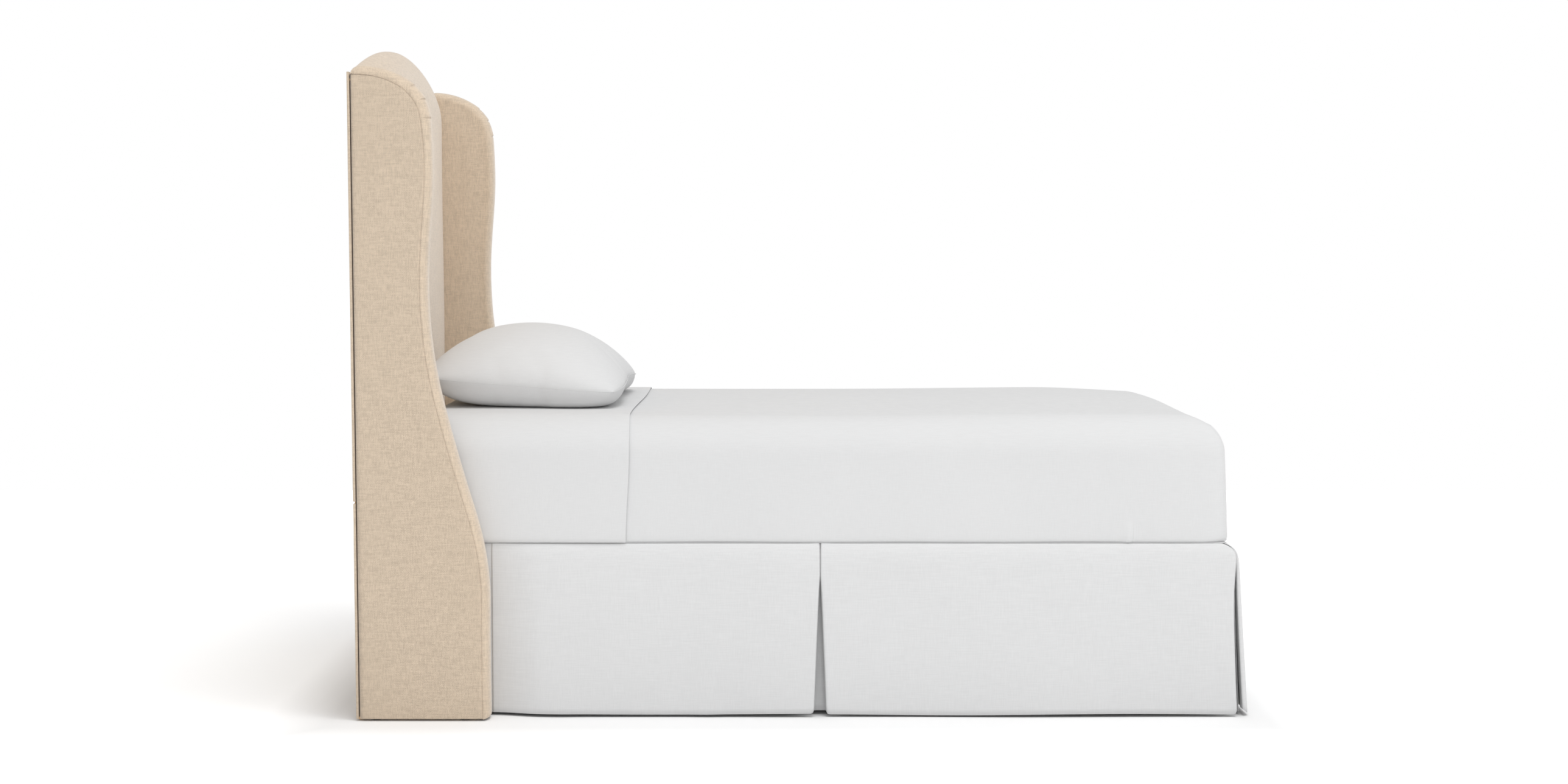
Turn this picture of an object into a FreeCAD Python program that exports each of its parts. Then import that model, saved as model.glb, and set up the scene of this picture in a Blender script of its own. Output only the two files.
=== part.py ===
import FreeCAD, Part
import math
import os
import re
import Sketcher
from FreeCAD import Vector

# A twin bed with an upholstered wing headboard, on a steel frame with a box
# spring, a bed skirt, a mattress, bed linen and one pillow.
#
# Working frame used by every expression below, in millimetres:
#   x  from the back of the headboard towards the foot of the bed
#   y  from the middle of the bed; "right" is the -y side, "left" the +y side,
#      as for someone lying in the bed
#   z  up from the floor
# Every object is then shifted by -middle_x, so that the origin lies on the
# floor under the middle of the whole bed.

SIZES = (
    # headboard and wings
    ("middle_x", 1019.5),
    ("half_width", 560),
    ("board_gap", 1),
    ("back_board", 6),
    ("back_split", 507),
    ("back_notch", 4),
    ("board_inset", 2),
    ("floor_gap", 4),
    ("wing_height", 1480),
    ("wing_skin", 5),
    ("wing_core_thick", 40),
    ("wing_pad", 12),
    ("wing_lining", 3),
    ("core_inset", 10),
    ("wing_stile", 40),
    ("waist_window", 105),
    ("waist_window_low", 900),
    ("waist_window_high", 1340),
    ("foot_window", 200),
    ("foot_window_low", 120),
    ("foot_window_high", 620),
    ("crown", 15),
    ("crest_height", 1566),
    ("crest_rise", 71),
    ("face_width", 499),
    ("face_low", 300),
    ("face_depth", 54),
    ("face_roll", 34),
    ("cloth", 2.5),
    ("arch_drop", 40),
    ("post_back", 2),
    ("post_thick", 18),
    ("post_wide", 60),
    ("post_height", 1436),
    ("rail_wide", 70),
    ("top_rail_low", 1390),
    ("middle_rail_low", 700),
    ("bottom_rail_low", 250),
    ("face_board", 6),
    ("joint_bolt", 4),
    ("bolt_play", 0.2),
    ("bolt_bite", 28),
    ("bolt_head", 5),
    ("head_ratio", 1.7),
    ("socket_wall", 4),
    ("pad_back", 0.5),
    ("glide_pad", 14),
    ("glide_back", 40),
    ("glide_front", 245),
    # steel frame
    ("steel", 3),
    ("angle", 38),
    ("seat_height", 178),
    ("rail_out", 487),
    ("rail_start", 24),
    ("rail_end", 1940),
    ("arm_head_x", 380),
    ("arm_foot_x", 1580),
    ("arm_half", 484),
    ("leg_in", 380),
    ("leg_radius", 16),
    ("leg_low", 12),
    ("stem_radius", 5),
    ("stem_long", 48),
    ("stem_bore", 70),
    ("foot_radius", 24),
    ("foot_bevel", 3),
    ("foot_play", 0.3),
    ("rivet", 4),
    ("bracket_in", 31),
    ("bracket_out", 9),
    ("bracket_below", 60),
    ("bracket_high", 110),
    ("bracket_tab", 62),
    ("tab_clear", 1),
    ("slot_long", 24),
    # box spring, mattress and linen
    ("bed_start", 92),
    ("bed_long", 1905),
    ("bed_half", 482.5),
    ("spring_high", 226),
    ("bed_corner", 40),
    ("ticking", 1.5),
    ("spring_board", 20),
    ("spring_slat", 12),
    ("slat_wide", 90),
    ("slat_play", 2),
    ("spring_pad", 10),
    ("mattress_low", 406),
    ("mattress_high", 288),
    ("mattress_roll", 55),
    ("mattress_tuck", 15),
    ("quilt", 3),
    ("sheet_thick", 1.2),
    ("fitted_thick", 1.5),
    ("coverlet_thick", 4),
    ("fold_start", 150),
    ("fold_thick", 2),
    ("cuff_end", 622),
    # skirt
    ("deck_low", 404.3),
    ("deck_thick", 1.4),
    ("deck_over", 4),
    ("skirt_half", 492.5),
    ("skirt_foot", 2008),
    ("skirt_top", 403.9),
    ("skirt_hem", 6),
    ("skirt_cloth", 3),
    ("skirt_gap", 0.4),
    ("side_panel_end", 2004),
    ("side_panel_end_hem", 2032),
    ("foot_panel_half", 487),
    ("foot_panel_half_hem", 508.5),
    ("corner_back", 7),
    ("flare_side", 25.5),
    ("flare_foot", 38),
    ("skirt_start", 312),
    ("pleat_x", 1067),
    ("pleat_top", 330),
    ("pleat_open", 15),
    ("pleat_wide", 100),
    ("corner_leg", 45),
    # pillow
    ("pillow_x", 116),
    ("pillow_deep", 480),
    ("pillow_half", 325),
    ("pillow_high", 182),
    ("pillow_round", 78),
    ("pillow_case_thick", 1.5),
    ("pillow_gap", 0.3),
)

# Side view of a wing along its outer seam, from the back of its top, over the
# rounded shoulder, in at the waist and out again to the deep foot: (x, z).
WING_FRONT = (
    (0, 1480),
    (58, 1476),
    (122, 1448),
    (150, 1416),
    (164, 1360),
    (169, 1270),
    (164, 1170),
    (156, 1060),
    (155, 980),
    (160, 890),
    (176, 780),
    (205, 660),
    (240, 535),
    (270, 430),
    (285, 340),
    (288, 260),
)

SIDES = (("right", -1), ("left", 1))

doc = FreeCAD.newDocument("WingBed")
sheet = doc.addObject("Spreadsheet::Sheet", "Sizes")
for row, (alias, amount) in enumerate(SIZES, start=1):
    sheet.set("A%d" % row, alias)
    sheet.set("B%d" % row, str(amount))
    sheet.setAlias("B%d" % row, alias)
doc.recompute()

PREFIX = {alias: "Sizes." for alias, amount in SIZES}
NODES = []

# A length larger than the whole bed, for cutting tools.
BIG = 3000


def size(alias):
    """The number in one cell of the sheet."""
    return float(sheet.get(alias))


def expr(text):
    """An expression in which each alias points at its cell of the sheet."""
    return re.sub("[a-z][a-z_0-9]*", lambda word: PREFIX.get(word.group(0), "") + word.group(0), text)


def node(item, label):
    """Registers an object as one of the bed's pieces."""
    item.Label = label
    NODES.append(item)
    return item


def place(item, x, y, z):
    """Ties an object's position to the sheet."""
    item.setExpression("Placement.Base.x", expr("%s - middle_x" % x))
    item.setExpression("Placement.Base.y", expr(y))
    item.setExpression("Placement.Base.z", expr(z))
    return item


def across(sign, inner, outer):
    """The low y of a block that spans inner to outer on one side."""
    return inner if sign > 0 else "-(%s)" % outer


def block(name, x, y, z, length, width, height):
    """A rectangular block from its low corner and its three lengths."""
    item = doc.addObject("Part::Box", name)
    item.setExpression("Length", expr(length))
    item.setExpression("Width", expr(width))
    item.setExpression("Height", expr(height))
    return place(item, x, y, z)


ROD_TURNS = {
    "x": (Vector(0, 1, 0), 90),
    "y": (Vector(1, 0, 0), -90),
    "-y": (Vector(1, 0, 0), 90),
    "z": (Vector(0, 0, 1), 0),
}


def rod(name, x, y, z, radius, height, axis="z"):
    """A cylinder that starts at a point and runs along x, y, -y or z."""
    item = doc.addObject("Part::Cylinder", name)
    item.setExpression("Radius", expr(radius))
    item.setExpression("Height", expr(height))
    item.Placement = FreeCAD.Placement(Vector(), FreeCAD.Rotation(*ROD_TURNS[axis]))
    return place(item, x, y, z)


def cut(name, base, *tools):
    """A base with one or more tools taken away."""
    tool = tools[0] if len(tools) == 1 else join(name + "_tool", *tools)
    item = doc.addObject("Part::Cut", name)
    item.Base = base
    item.Tool = tool
    return item


def join(name, *pieces):
    """Pieces fused into one solid, or into a set of separate solids."""
    item = doc.addObject("Part::MultiFuse", name)
    item.Shapes = list(pieces)
    return item


def group(name, pieces):
    """Separate identical solids that share one node."""
    item = doc.addObject("Part::Compound", name)
    item.Links = list(pieces)
    return item


def feature(name, shape):
    """A piece whose shape is worked out from the sheet in working frame."""
    item = doc.addObject("Part::Feature", name)
    item.Shape = shape
    item.Placement = FreeCAD.Placement(Vector(-size("middle_x"), 0, 0), FreeCAD.Rotation())
    return item


def plane(body, role):
    """One of a body's own origin planes."""
    return next(item for item in body.Origin.OriginFeatures if item.Role == role)


def outline(body, role, corners):
    """A closed sketch of straight lines; each corner is a pair of expressions."""
    sketch = body.newObject("Sketcher::SketchObject", body.Name + "_sketch")
    sketch.AttachmentSupport = [(plane(body, role), "")]
    sketch.MapMode = "FlatFace"
    count = len(corners)
    turn = 2 * math.pi / count
    ring = [Vector(math.cos(turn * i), math.sin(turn * i), 0) for i in range(count)]
    for i in range(count):
        sketch.addGeometry(Part.LineSegment(ring[i], ring[(i + 1) % count]), False)
    for i in range(count):
        sketch.addConstraint(Sketcher.Constraint("Coincident", i, 2, (i + 1) % count, 1))
    for i, corner in enumerate(corners):
        for kind, text, axis in zip(("DistanceX", "DistanceY"), corner, (-2, -1)):
            if text == "0":
                sketch.addConstraint(Sketcher.Constraint("PointOnObject", i, 1, axis))
            else:
                index = sketch.addConstraint(Sketcher.Constraint(kind, -1, 1, i, 1, 1.0))
                sketch.setExpression("Constraints[%d]" % index, expr(text))
    return sketch


def pad(name, role, corners, length):
    """A body made by padding a sketch outline."""
    body = doc.addObject("PartDesign::Body", name)
    sketch = outline(body, role, corners)
    item = body.newObject("PartDesign::Pad", name + "_pad")
    item.Profile = sketch
    item.setExpression("Length", expr(length))
    doc.recompute()
    return body


def turned(name, corners):
    """A body made by turning an outline of (radius, height) about z."""
    body = doc.addObject("PartDesign::Body", name)
    sketch = outline(body, "XZ_Plane", corners)
    item = body.newObject("PartDesign::Revolution", name + "_turn")
    item.Profile = sketch
    item.ReferenceAxis = (sketch, ["V_Axis"])
    item.Angle = 360
    doc.recompute()
    return body


def round_edges(body, pick, radius):
    """Fillets the edges of a body that pick accepts."""
    base = body.Tip
    names = ["Edge%d" % (i + 1) for i, edge in enumerate(base.Shape.Edges) if pick(edge)]
    item = body.newObject("PartDesign::Fillet", body.Name + "_round%d" % len(body.Group))
    item.Base = (base, names)
    item.setExpression("Radius", expr(radius))
    doc.recompute()
    return body


def upright(edge):
    """True for an edge that runs along z."""
    return edge.BoundBox.XLength < 0.01 and edge.BoundBox.YLength < 0.01


def at_height(height):
    """Picks the level edges at one height of the body's own frame."""
    return lambda edge: abs(edge.BoundBox.ZMin - height) < 0.01 and edge.BoundBox.ZLength < 0.01


# ---------------------------------------------------------------- wings


def wing_curve(offset):
    """The front and top line of a wing, moved outward by an offset."""
    seam = Part.BSplineCurve()
    seam.interpolate([Vector(x, 0, z) for x, z in WING_FRONT])
    first, last = seam.FirstParameter, seam.LastParameter
    steps = 48
    points = []
    for i in range(steps + 1):
        at = first + (last - first) * i / steps
        point = seam.value(at)
        ahead = seam.tangent(at)[0]
        points.append(point + Vector(-ahead.z, 0, ahead.x) * offset)
    points[0].x = 0
    moved = Part.BSplineCurve()
    moved.approximate(Points=points, Tolerance=0.05)
    return moved


def wing_slice(offset, start, thick, sign, back=0.0):
    """A wing's side view, offset outward, given a thickness across the bed.

    start is the depth below the wing's outer face at which the slice begins.
    """
    curve = wing_curve(offset).toShape()
    top = curve.Vertexes[0].Point
    low = curve.Vertexes[-1].Point
    floor = size("floor_gap")
    foot = Vector(low.x, 0, floor)
    heel = Vector(0, 0, floor)
    wire = Part.Wire([
        curve,
        Part.LineSegment(low, foot).toShape(),
        Part.LineSegment(foot, heel).toShape(),
        Part.LineSegment(heel, top).toShape(),
    ])
    face = Part.Face(wire)
    outer = size("half_width") - start
    y = outer - thick if sign > 0 else -outer
    face.translate(Vector(0, y, 0))
    solid = face.extrude(Vector(0, thick, 0))
    if back > 0:
        solid = solid.common(Part.makeBox(BIG, BIG, BIG, Vector(back, -BIG / 2, 0)))
    return solid


def cavity(low_x, high_x, low_z, high_z):
    """A rectangular window through a wing's core."""
    return Part.makeBox(high_x - low_x, BIG, high_z - low_z, Vector(low_x, -BIG / 2, low_z))


BOLT_HEIGHTS = (380, 820, 1260)


def wing(side, sign):
    """The five layers of one wing."""
    skin = size("wing_skin")
    thick = size("wing_core_thick")
    padding = size("wing_pad")
    lining = size("wing_lining")
    inset = -size("core_inset")
    crown = size("crown")
    front = size("post_back") + size("post_thick") + size("cloth")
    stile = size("wing_stile")

    panel = wing_slice(0, 0, skin, sign)
    node(feature("wing_outer_panel_" + side, panel), "wing_outer_panel_" + side)

    core = wing_slice(inset, skin, thick, sign)
    core = core.cut(cavity(stile, size("waist_window"), size("waist_window_low"), size("waist_window_high")))
    core = core.cut(cavity(stile, size("foot_window"), size("foot_window_low"), size("foot_window_high")))
    bolt_x = size("post_back") + size("post_thick") / 2
    bore = size("joint_bolt") + size("bolt_play")
    reach = size("half_width") - skin - thick
    for height in BOLT_HEIGHTS:
        mouth = Vector(bolt_x, sign * reach, height)
        core = core.cut(Part.makeCylinder(bore, size("bolt_bite") + 2, mouth, Vector(0, sign, 0)))
    node(feature("wing_core_" + side, core), "wing_core_" + side)

    foam = wing_slice(crown - lining, skin, thick + padding, sign)
    foam = foam.cut(wing_slice(inset, skin, thick, sign))
    near = reach - padding - 1 if sign > 0 else -reach
    foam = foam.cut(Part.makeBox(front + 1, padding + 1, size("wing_height") - inset, Vector(-1, near, 0)))
    node(feature("wing_foam_" + side, foam), "wing_foam_" + side)

    inner = wing_slice(crown - lining, skin + thick + padding, lining, sign, back=front)
    node(feature("wing_inner_panel_" + side, inner), "wing_inner_panel_" + side)

    band = wing_slice(crown, skin, thick + padding + lining, sign)
    band = band.cut(wing_slice(crown - lining, skin, thick + padding + lining, sign))
    node(feature("wing_band_" + side, band), "wing_band_" + side)


for side, sign in SIDES:
    wing(side, sign)

# ---------------------------------------------------------------- headboard


def arch(half, low, drop, back, depth):
    """A board with a bowed top, from low up to drop below the crest line."""
    crest = size("crest_height") - drop
    fall = size("crest_rise") * (half / size("face_width")) ** 2
    quarter = size("crest_rise") * (half / size("face_width") / 2) ** 2
    bow = Part.BSplineCurve()
    bow.interpolate([
        Vector(back, -half, crest - fall),
        Vector(back, -half / 2, crest - quarter),
        Vector(back, 0, crest),
        Vector(back, half / 2, crest - quarter),
        Vector(back, half, crest - fall),
    ])
    left = Vector(back, half, low)
    right = Vector(back, -half, low)
    wire = Part.Wire([
        bow.toShape(),
        Part.LineSegment(Vector(back, half, crest - fall), left).toShape(),
        Part.LineSegment(left, right).toShape(),
        Part.LineSegment(right, Vector(back, -half, crest - fall)).toShape(),
    ])
    return Part.Face(wire).extrude(Vector(depth, 0, 0))


def rolled(shape, radius):
    """Rounds the front edge of a bowed board's top."""
    front = shape.BoundBox.XMax
    edges = [edge for edge in shape.Edges if edge.BoundBox.XMin > front - 0.01]
    bowed = max(edges, key=lambda edge: edge.BoundBox.Center.z)
    return shape.makeFillet(radius, [bowed])


half_face = size("face_width")
cloth = size("cloth")
frame_back = size("post_back")
frame_front = frame_back + size("post_thick")
board_front = frame_front + size("face_board")
rail_half = size("half_width") - size("wing_skin") - size("wing_core_thick") - size("post_wide")

# The steel frame's brackets bolt to the posts, below and above its rails.
BRACKET_HEIGHTS = ("seat_height - 40", "seat_height + 30")
BRACKET_BOLT_IN = "rail_out - 18"

for side, sign in SIDES:
    outer = "half_width - wing_skin - wing_core_thick"
    post = block("post_block_" + side, "post_back", across(sign, outer + " - post_wide", outer), "floor_gap",
                 "post_thick", "post_wide", "post_height - floor_gap")
    holes = []
    for i, height in enumerate(BOLT_HEIGHTS):
        holes.append(rod("post_bore_%s_%d" % (side, i), "post_back + post_thick / 2",
                         "%d * (%s + 1)" % (sign, outer), str(height),
                         "joint_bolt + bolt_play", "post_wide + 2", "-y" if sign > 0 else "y"))
    for i, height in enumerate(BRACKET_HEIGHTS):
        holes.append(rod("post_socket_%s_%d" % (side, i), "post_back + socket_wall",
                         "%d * (%s)" % (sign, BRACKET_BOLT_IN), height,
                         "joint_bolt + bolt_play", "post_thick", "x"))
    node(cut("headboard_post_" + side, post, *holes), "headboard_post_" + side)

rail_span = Part.makeBox(BIG, 2 * rail_half, BIG, Vector(0, -rail_half, 0))
top_rail = arch(half_face, size("top_rail_low"), size("arch_drop"), frame_back, size("post_thick"))
node(feature("headboard_top_rail", top_rail.common(rail_span)), "headboard_top_rail")

for name in ("middle_rail", "bottom_rail"):
    reach = "(half_width - wing_skin - wing_core_thick - post_wide)"
    rail = block("headboard_" + name, "post_back", "-" + reach, name + "_low",
                 "post_thick", "2 * " + reach, "rail_wide")
    node(rail, "headboard_" + name)

board_span = Part.makeBox(BIG, 2 * (half_face - cloth), BIG, Vector(0, cloth - half_face, 0))
face_board = arch(half_face, size("face_low"), size("arch_drop"), frame_front, size("face_board"))
node(feature("headboard_face_board", face_board.common(board_span)), "headboard_face_board")

# The cover wraps the foam and the top rail, and stops in front of the posts.
low = size("face_low")
depth = size("face_depth") - size("pad_back")
cover_outer = rolled(arch(half_face, low, 0, size("pad_back"), depth), size("face_roll"))
cover_inner = arch(half_face - cloth, low, cloth, size("pad_back"), depth - cloth)
cover_inner = rolled(cover_inner, size("face_roll") - cloth)
cover = cover_outer.cut(cover_inner)
for side, sign in SIDES:
    near = Vector(-1, sign * half_face - size("post_wide") / 2, 0)
    cover = cover.cut(Part.makeBox(frame_front + 1, size("post_wide"), size("post_height") + 2, near))
node(feature("headboard_cover", cover), "headboard_cover")

woodwork = arch(half_face, 0, size("arch_drop"), 0, board_front)
foam = cover_inner.cut(woodwork)
node(feature("headboard_foam", foam), "headboard_foam")

bolts = []
for side, sign in SIDES:
    reach = size("half_width") - size("wing_skin") - size("wing_core_thick")
    radius = size("joint_bolt")
    length = size("post_wide") + size("bolt_bite")
    for height in BOLT_HEIGHTS:
        start = Vector(frame_back + size("post_thick") / 2, sign * (reach - size("post_wide")), height)
        shank = Part.makeCylinder(radius, length, start, Vector(0, sign, 0))
        head = Part.makeCylinder(radius * size("head_ratio"), size("bolt_head"), start, Vector(0, -sign, 0))
        bolts.append(shank.fuse(head))
node(feature("wing_bolts", Part.makeCompound(bolts)), "wing_bolts")

# Thin covered boards close the back, with a small notch between them.
board_half = size("half_width") - size("board_inset")
board_back = -size("board_gap") - size("back_board")
upper_low = size("back_split") + size("back_notch") / 2
upper_high = size("wing_height") - size("board_inset")
upper = arch(half_face - cloth, upper_low, 3 * size("board_inset"), board_back, size("back_board"))
corner = Vector(board_back, -board_half, upper_low)
shoulder = Part.makeBox(size("back_board"), 2 * board_half, upper_high - upper_low, corner)
node(feature("back_panel_upper", upper.fuse(shoulder).removeSplitter()), "back_panel_upper")
lower = block("back_panel_lower", "-board_gap - back_board", "-(half_width - board_inset)", "floor_gap",
              "back_board", "2 * (half_width - board_inset)", "back_split - back_notch / 2 - floor_gap")
node(lower, "back_panel_lower")

glides = []
for side, sign in SIDES:
    for i, x in enumerate(("glide_back", "glide_front")):
        y = "%d * (half_width - wing_skin - wing_core_thick / 2)" % sign
        glides.append(rod("wing_glide_%s_%d" % (side, i), x, y, "0", "glide_pad", "floor_gap"))
node(group("wing_glides", glides), "wing_glides")

# ---------------------------------------------------------------- steel frame

ARMS = {"head": "arm_head_x", "foot": "arm_foot_x"}
HOLE = "rivet + bolt_play / 2"


def rivet_rod(name, end, side, low, radius, height):
    """A rod on the axis of the rivet that joins one side rail to one cross arm."""
    y = "%d * (rail_out - angle / 2)" % dict(SIDES)[side]
    return rod("%s_%s_%s" % (name, end, side), ARMS[end] + " + angle / 2", y, low, radius, height)


for side, sign in SIDES:
    low, high = "seat_height - steel", "seat_height"
    edge = "%d * rail_out" % sign
    web = "%d * (rail_out - steel)" % sign
    lip = "%d * (rail_out - angle)" % sign
    top = "seat_height + angle - steel"
    corners = ((lip, low), (edge, low), (edge, top), (web, top), (web, high), (lip, high))
    rail = pad("rail_angle_" + side, "YZ_Plane", corners, "rail_end - rail_start")
    place(rail, "rail_start", "0", "0")
    holes = [rivet_rod("rail_hole", end, side, low + " - 1", HOLE, "steel + 2") for end in ARMS]
    node(cut("side_rail_" + side, rail, *holes), "side_rail_" + side)

for end, x in ARMS.items():
    low = "seat_height - steel - angle"
    top = "seat_height - steel"
    inside = "seat_height - 2 * steel"
    corners = (("0", low), ("steel", low), ("steel", inside), ("angle", inside), ("angle", top), ("0", top))
    arm = pad("arm_angle_" + end, "XZ_Plane", corners, "2 * arm_half")
    place(arm, x, "arm_half", "0")
    holes = [rivet_rod("arm_hole", end, side, low, HOLE, "2 * angle") for side, sign in SIDES]
    node(cut("cross_arm_" + end, arm, *holes), "cross_arm_" + end)

rivets = []
for end in ARMS:
    for side, sign in SIDES:
        shank = rivet_rod("rivet_shank", end, side, "seat_height - 2 * steel", "rivet", "2 * steel")
        head = rivet_rod("rivet_head", end, side, "seat_height - 3 * steel", "rivet * head_ratio", "steel")
        rivets.append(join("rivet_%s_%s" % (end, side), shank, head))
node(group("frame_rivets", rivets), "frame_rivets")

LEG_TOP = "seat_height - 2 * steel"
BORE = "stem_radius + foot_play"
LEG_OUTLINE = (
    (BORE, "leg_low"),
    ("leg_radius - 1", "leg_low"),
    ("leg_radius", "leg_low + 1"),
    ("leg_radius", LEG_TOP),
    ("0", LEG_TOP),
    ("0", "leg_low + stem_bore"),
    (BORE, "leg_low + stem_bore"),
)
GLIDE_TOP = "leg_low - foot_play"
GLIDE_OUTLINE = (
    ("0", "0"),
    ("foot_radius - foot_bevel", "0"),
    ("foot_radius", "foot_bevel"),
    ("foot_radius", "2 * foot_bevel"),
    ("leg_radius", GLIDE_TOP),
    ("stem_radius", GLIDE_TOP),
    ("stem_radius", GLIDE_TOP + " + stem_long"),
    ("0", GLIDE_TOP + " + stem_long"),
)
for end, x in ARMS.items():
    for side, sign in SIDES:
        spot = (x + " + steel + 2 + leg_radius", "%d * leg_in" % sign, "0")
        for kind, corners in (("leg", LEG_OUTLINE), ("leg_glide", GLIDE_OUTLINE)):
            label = "%s_%s_%s" % (kind, end, side)
            node(place(turned(label, corners), *spot), label)

bracket_bolts = []
for side, sign in SIDES:
    front = "post_back + post_thick"
    plate_y = across(sign, "rail_out - bracket_in", "rail_out + bracket_out")
    plate = block("bracket_plate_" + side, front, plate_y, "seat_height - bracket_below",
                  "steel", "bracket_in + bracket_out", "bracket_high")
    tab_y = across(sign, "rail_out - 2 * steel", "rail_out - steel")
    tab = block("bracket_tab_" + side, front, tab_y, "seat_height + tab_clear",
                "bracket_tab", "steel", "angle - 2 * steel - tab_clear")
    y = "%d * (%s)" % (sign, BRACKET_BOLT_IN)
    slots = []
    for i, z in enumerate(BRACKET_HEIGHTS):
        slots.append(block("bracket_slot_%s_%d" % (side, i), front + " - 1", y + " - joint_bolt - bolt_play",
                           z + " - slot_long / 2", "steel + 2", "2 * (joint_bolt + bolt_play)", "slot_long"))
        shank = rod("bracket_shank_%s_%d" % (side, i), "post_back + socket_wall", y, z,
                    "joint_bolt", "post_thick - socket_wall + steel", "x")
        head = rod("bracket_head_%s_%d" % (side, i), front + " + steel", y, z,
                   "joint_bolt * head_ratio", "bolt_head", "x")
        bracket_bolts.append(join("bracket_bolt_%s_%d" % (side, i), shank, head))
    bracket = cut("headboard_bracket_" + side, join("bracket_body_" + side, plate, tab), *slots)
    node(bracket, "headboard_bracket_" + side)
node(group("bracket_bolts", bracket_bolts), "bracket_bolts")

# ---------------------------------------------------------------- soft blocks


def slab(name, grow, low, high, corner, top_roll=None, low_roll=None, head_grow=None):
    """A bed-sized block with rounded corners, grown outward all round.

    low and high are expressions for its two heights; top_roll and low_roll
    round its upper and lower edges.
    """
    head = grow if head_grow is None else head_grow
    half = "(bed_half + %s)" % grow
    long = "(bed_long + %s)" % grow
    start = "-(%s)" % head
    corners = ((start, "-" + half), (long, "-" + half), (long, half), (start, half))
    body = pad(name, "XY_Plane", corners, "(%s) - (%s)" % (high, low))
    round_edges(body, upright, corner)
    height = body.Shape.BoundBox.ZMax
    if top_roll:
        round_edges(body, at_height(height), top_roll)
    if low_roll:
        round_edges(body, at_height(0), low_roll)
    return place(body, "bed_start", "0", low)


spring_top = "seat_height + spring_high"
spring_in = spring_top + " - ticking"
spring_outer = slab("box_spring_outer", "0 * ticking", "seat_height", spring_top, "bed_corner")
spring_inner = slab("box_spring_inner", "-ticking", "seat_height + ticking", spring_in, "bed_corner - ticking")
node(cut("box_spring_cover", spring_outer, spring_inner), "box_spring_cover")

pad_low = spring_in + " - spring_pad"
slat_low = pad_low + " - spring_slat"
board_outer = slab("spring_board_outer", "-ticking", "seat_height + ticking", slat_low, "bed_corner - ticking")
board_inner = slab("spring_board_inner", "-(ticking + spring_board)", "seat_height", slat_low + " + ticking",
                   "bed_corner - ticking - spring_board")
node(cut("box_spring_frame", board_outer, board_inner), "box_spring_frame")
node(slab("box_spring_pad", "-ticking", pad_low, spring_in, "bed_corner - ticking"), "box_spring_pad")

slats = []
SLAT_COUNT = 11
for i in range(SLAT_COUNT):
    x = "bed_start + bed_corner + %d * (bed_long - 2 * bed_corner - slat_wide) / %d" % (i, SLAT_COUNT - 1)
    slats.append(block("spring_slat_%d" % i, x, "-(bed_half - ticking - slat_play)", slat_low,
                       "slat_wide", "2 * (bed_half - ticking - slat_play)", "spring_slat"))
node(group("box_spring_slats", slats), "box_spring_slats")

deck = slab("skirt_deck", "deck_over", "deck_low", "deck_low + deck_thick", "bed_corner",
            head_grow="0 * deck_over")
node(deck, "skirt_deck")

# The mattress and its linen are nested shells, each a little larger.
mattress_top = "mattress_low + mattress_high"
core_body = slab("mattress_core", "-quilt", "mattress_low + quilt", mattress_top + " - quilt", "bed_corner",
                 "mattress_roll - quilt", "mattress_tuck - quilt")
node(core_body, "mattress_core")
layers = [
    "0 * quilt",
    "fitted_thick",
    "fitted_thick + sheet_thick",
    "fitted_thick + sheet_thick + coverlet_thick",
    "fitted_thick + 2 * sheet_thick + coverlet_thick",
]


def layer(name, index, low_roll=None):
    """One of the nested mattress-shaped blocks."""
    grow = layers[index]
    top = "%s + %s" % (mattress_top, grow)
    return slab(name, grow, "mattress_low", top, "bed_corner + " + grow, "mattress_roll + " + grow, low_roll)


def span(name, start, end):
    """The whole space between two stations along the bed."""
    return block(name, start, "-half_width", "mattress_low - bed_corner", "%s - (%s)" % (end, start),
                 "2 * half_width", "mattress_high + 2 * bed_corner")


far = "bed_start + bed_long + bed_corner"
node(cut("mattress_cover", layer("mattress_outer", 0, "mattress_tuck"), core_body), "mattress_cover")
node(cut("fitted_sheet", layer("fitted_outer", 1), layer("fitted_inner", 0)), "fitted_sheet")

under = cut("flat_sheet_under_shell", layer("flat_outer", 2), layer("flat_inner", 1))
over = cut("flat_sheet_over_shell", layer("cuff_outer", 4), layer("cuff_inner", 3))
fold = cut("flat_sheet_fold_shell", layer("fold_outer", 4), layer("fold_inner", 1))


def within(name, shell, start, end):
    """The part of a shell between two stations along the bed."""
    item = doc.addObject("Part::Common", name)
    item.Base = shell
    item.Tool = span(name + "_span", start, end)
    return item


flat_parts = [
    within("flat_sheet_under", under, "fold_start", far),
    within("flat_sheet_over", over, "fold_start", "cuff_end"),
    within("flat_sheet_fold", fold, "fold_start", "fold_start + fold_thick"),
]
node(join("flat_sheet", *flat_parts), "flat_sheet")

quilted = cut("coverlet_shell", layer("coverlet_outer", 3), layer("coverlet_inner", 2))
node(within("coverlet", quilted, "fold_start + fold_thick", far), "coverlet")

# ---------------------------------------------------------------- skirt


def drop(z):
    """How far down the skirt a height lies, from 0 at the seam to 1 at the hem."""
    return (size("skirt_top") - z) / (size("skirt_top") - size("skirt_hem"))


def leaning(corners, along, inward, thick):
    """A flat cloth panel that leans outward from its seam to its hem.

    corners are (distance along the seam, height); along is "x" for a side
    panel on the left, or "y" for the foot panel.
    """
    points = []
    for distance, z in corners:
        if along == "x":
            points.append(Vector(distance, size("skirt_half") + size("flare_side") * drop(z) - inward, z))
        else:
            points.append(Vector(size("skirt_foot") + size("flare_foot") * drop(z) - inward, distance, z))
    face = Part.Face(Part.makePolygon(points + points[:1]))
    step = Vector(0, -thick, 0) if along == "x" else Vector(-thick, 0, 0)
    return face.extrude(step)


def on_side(shape, sign):
    """Mirrors a left-hand shape to the right when the sign asks for it."""
    return shape if sign > 0 else shape.mirror(Vector(0, 0, 0), Vector(0, 1, 0))


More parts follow.
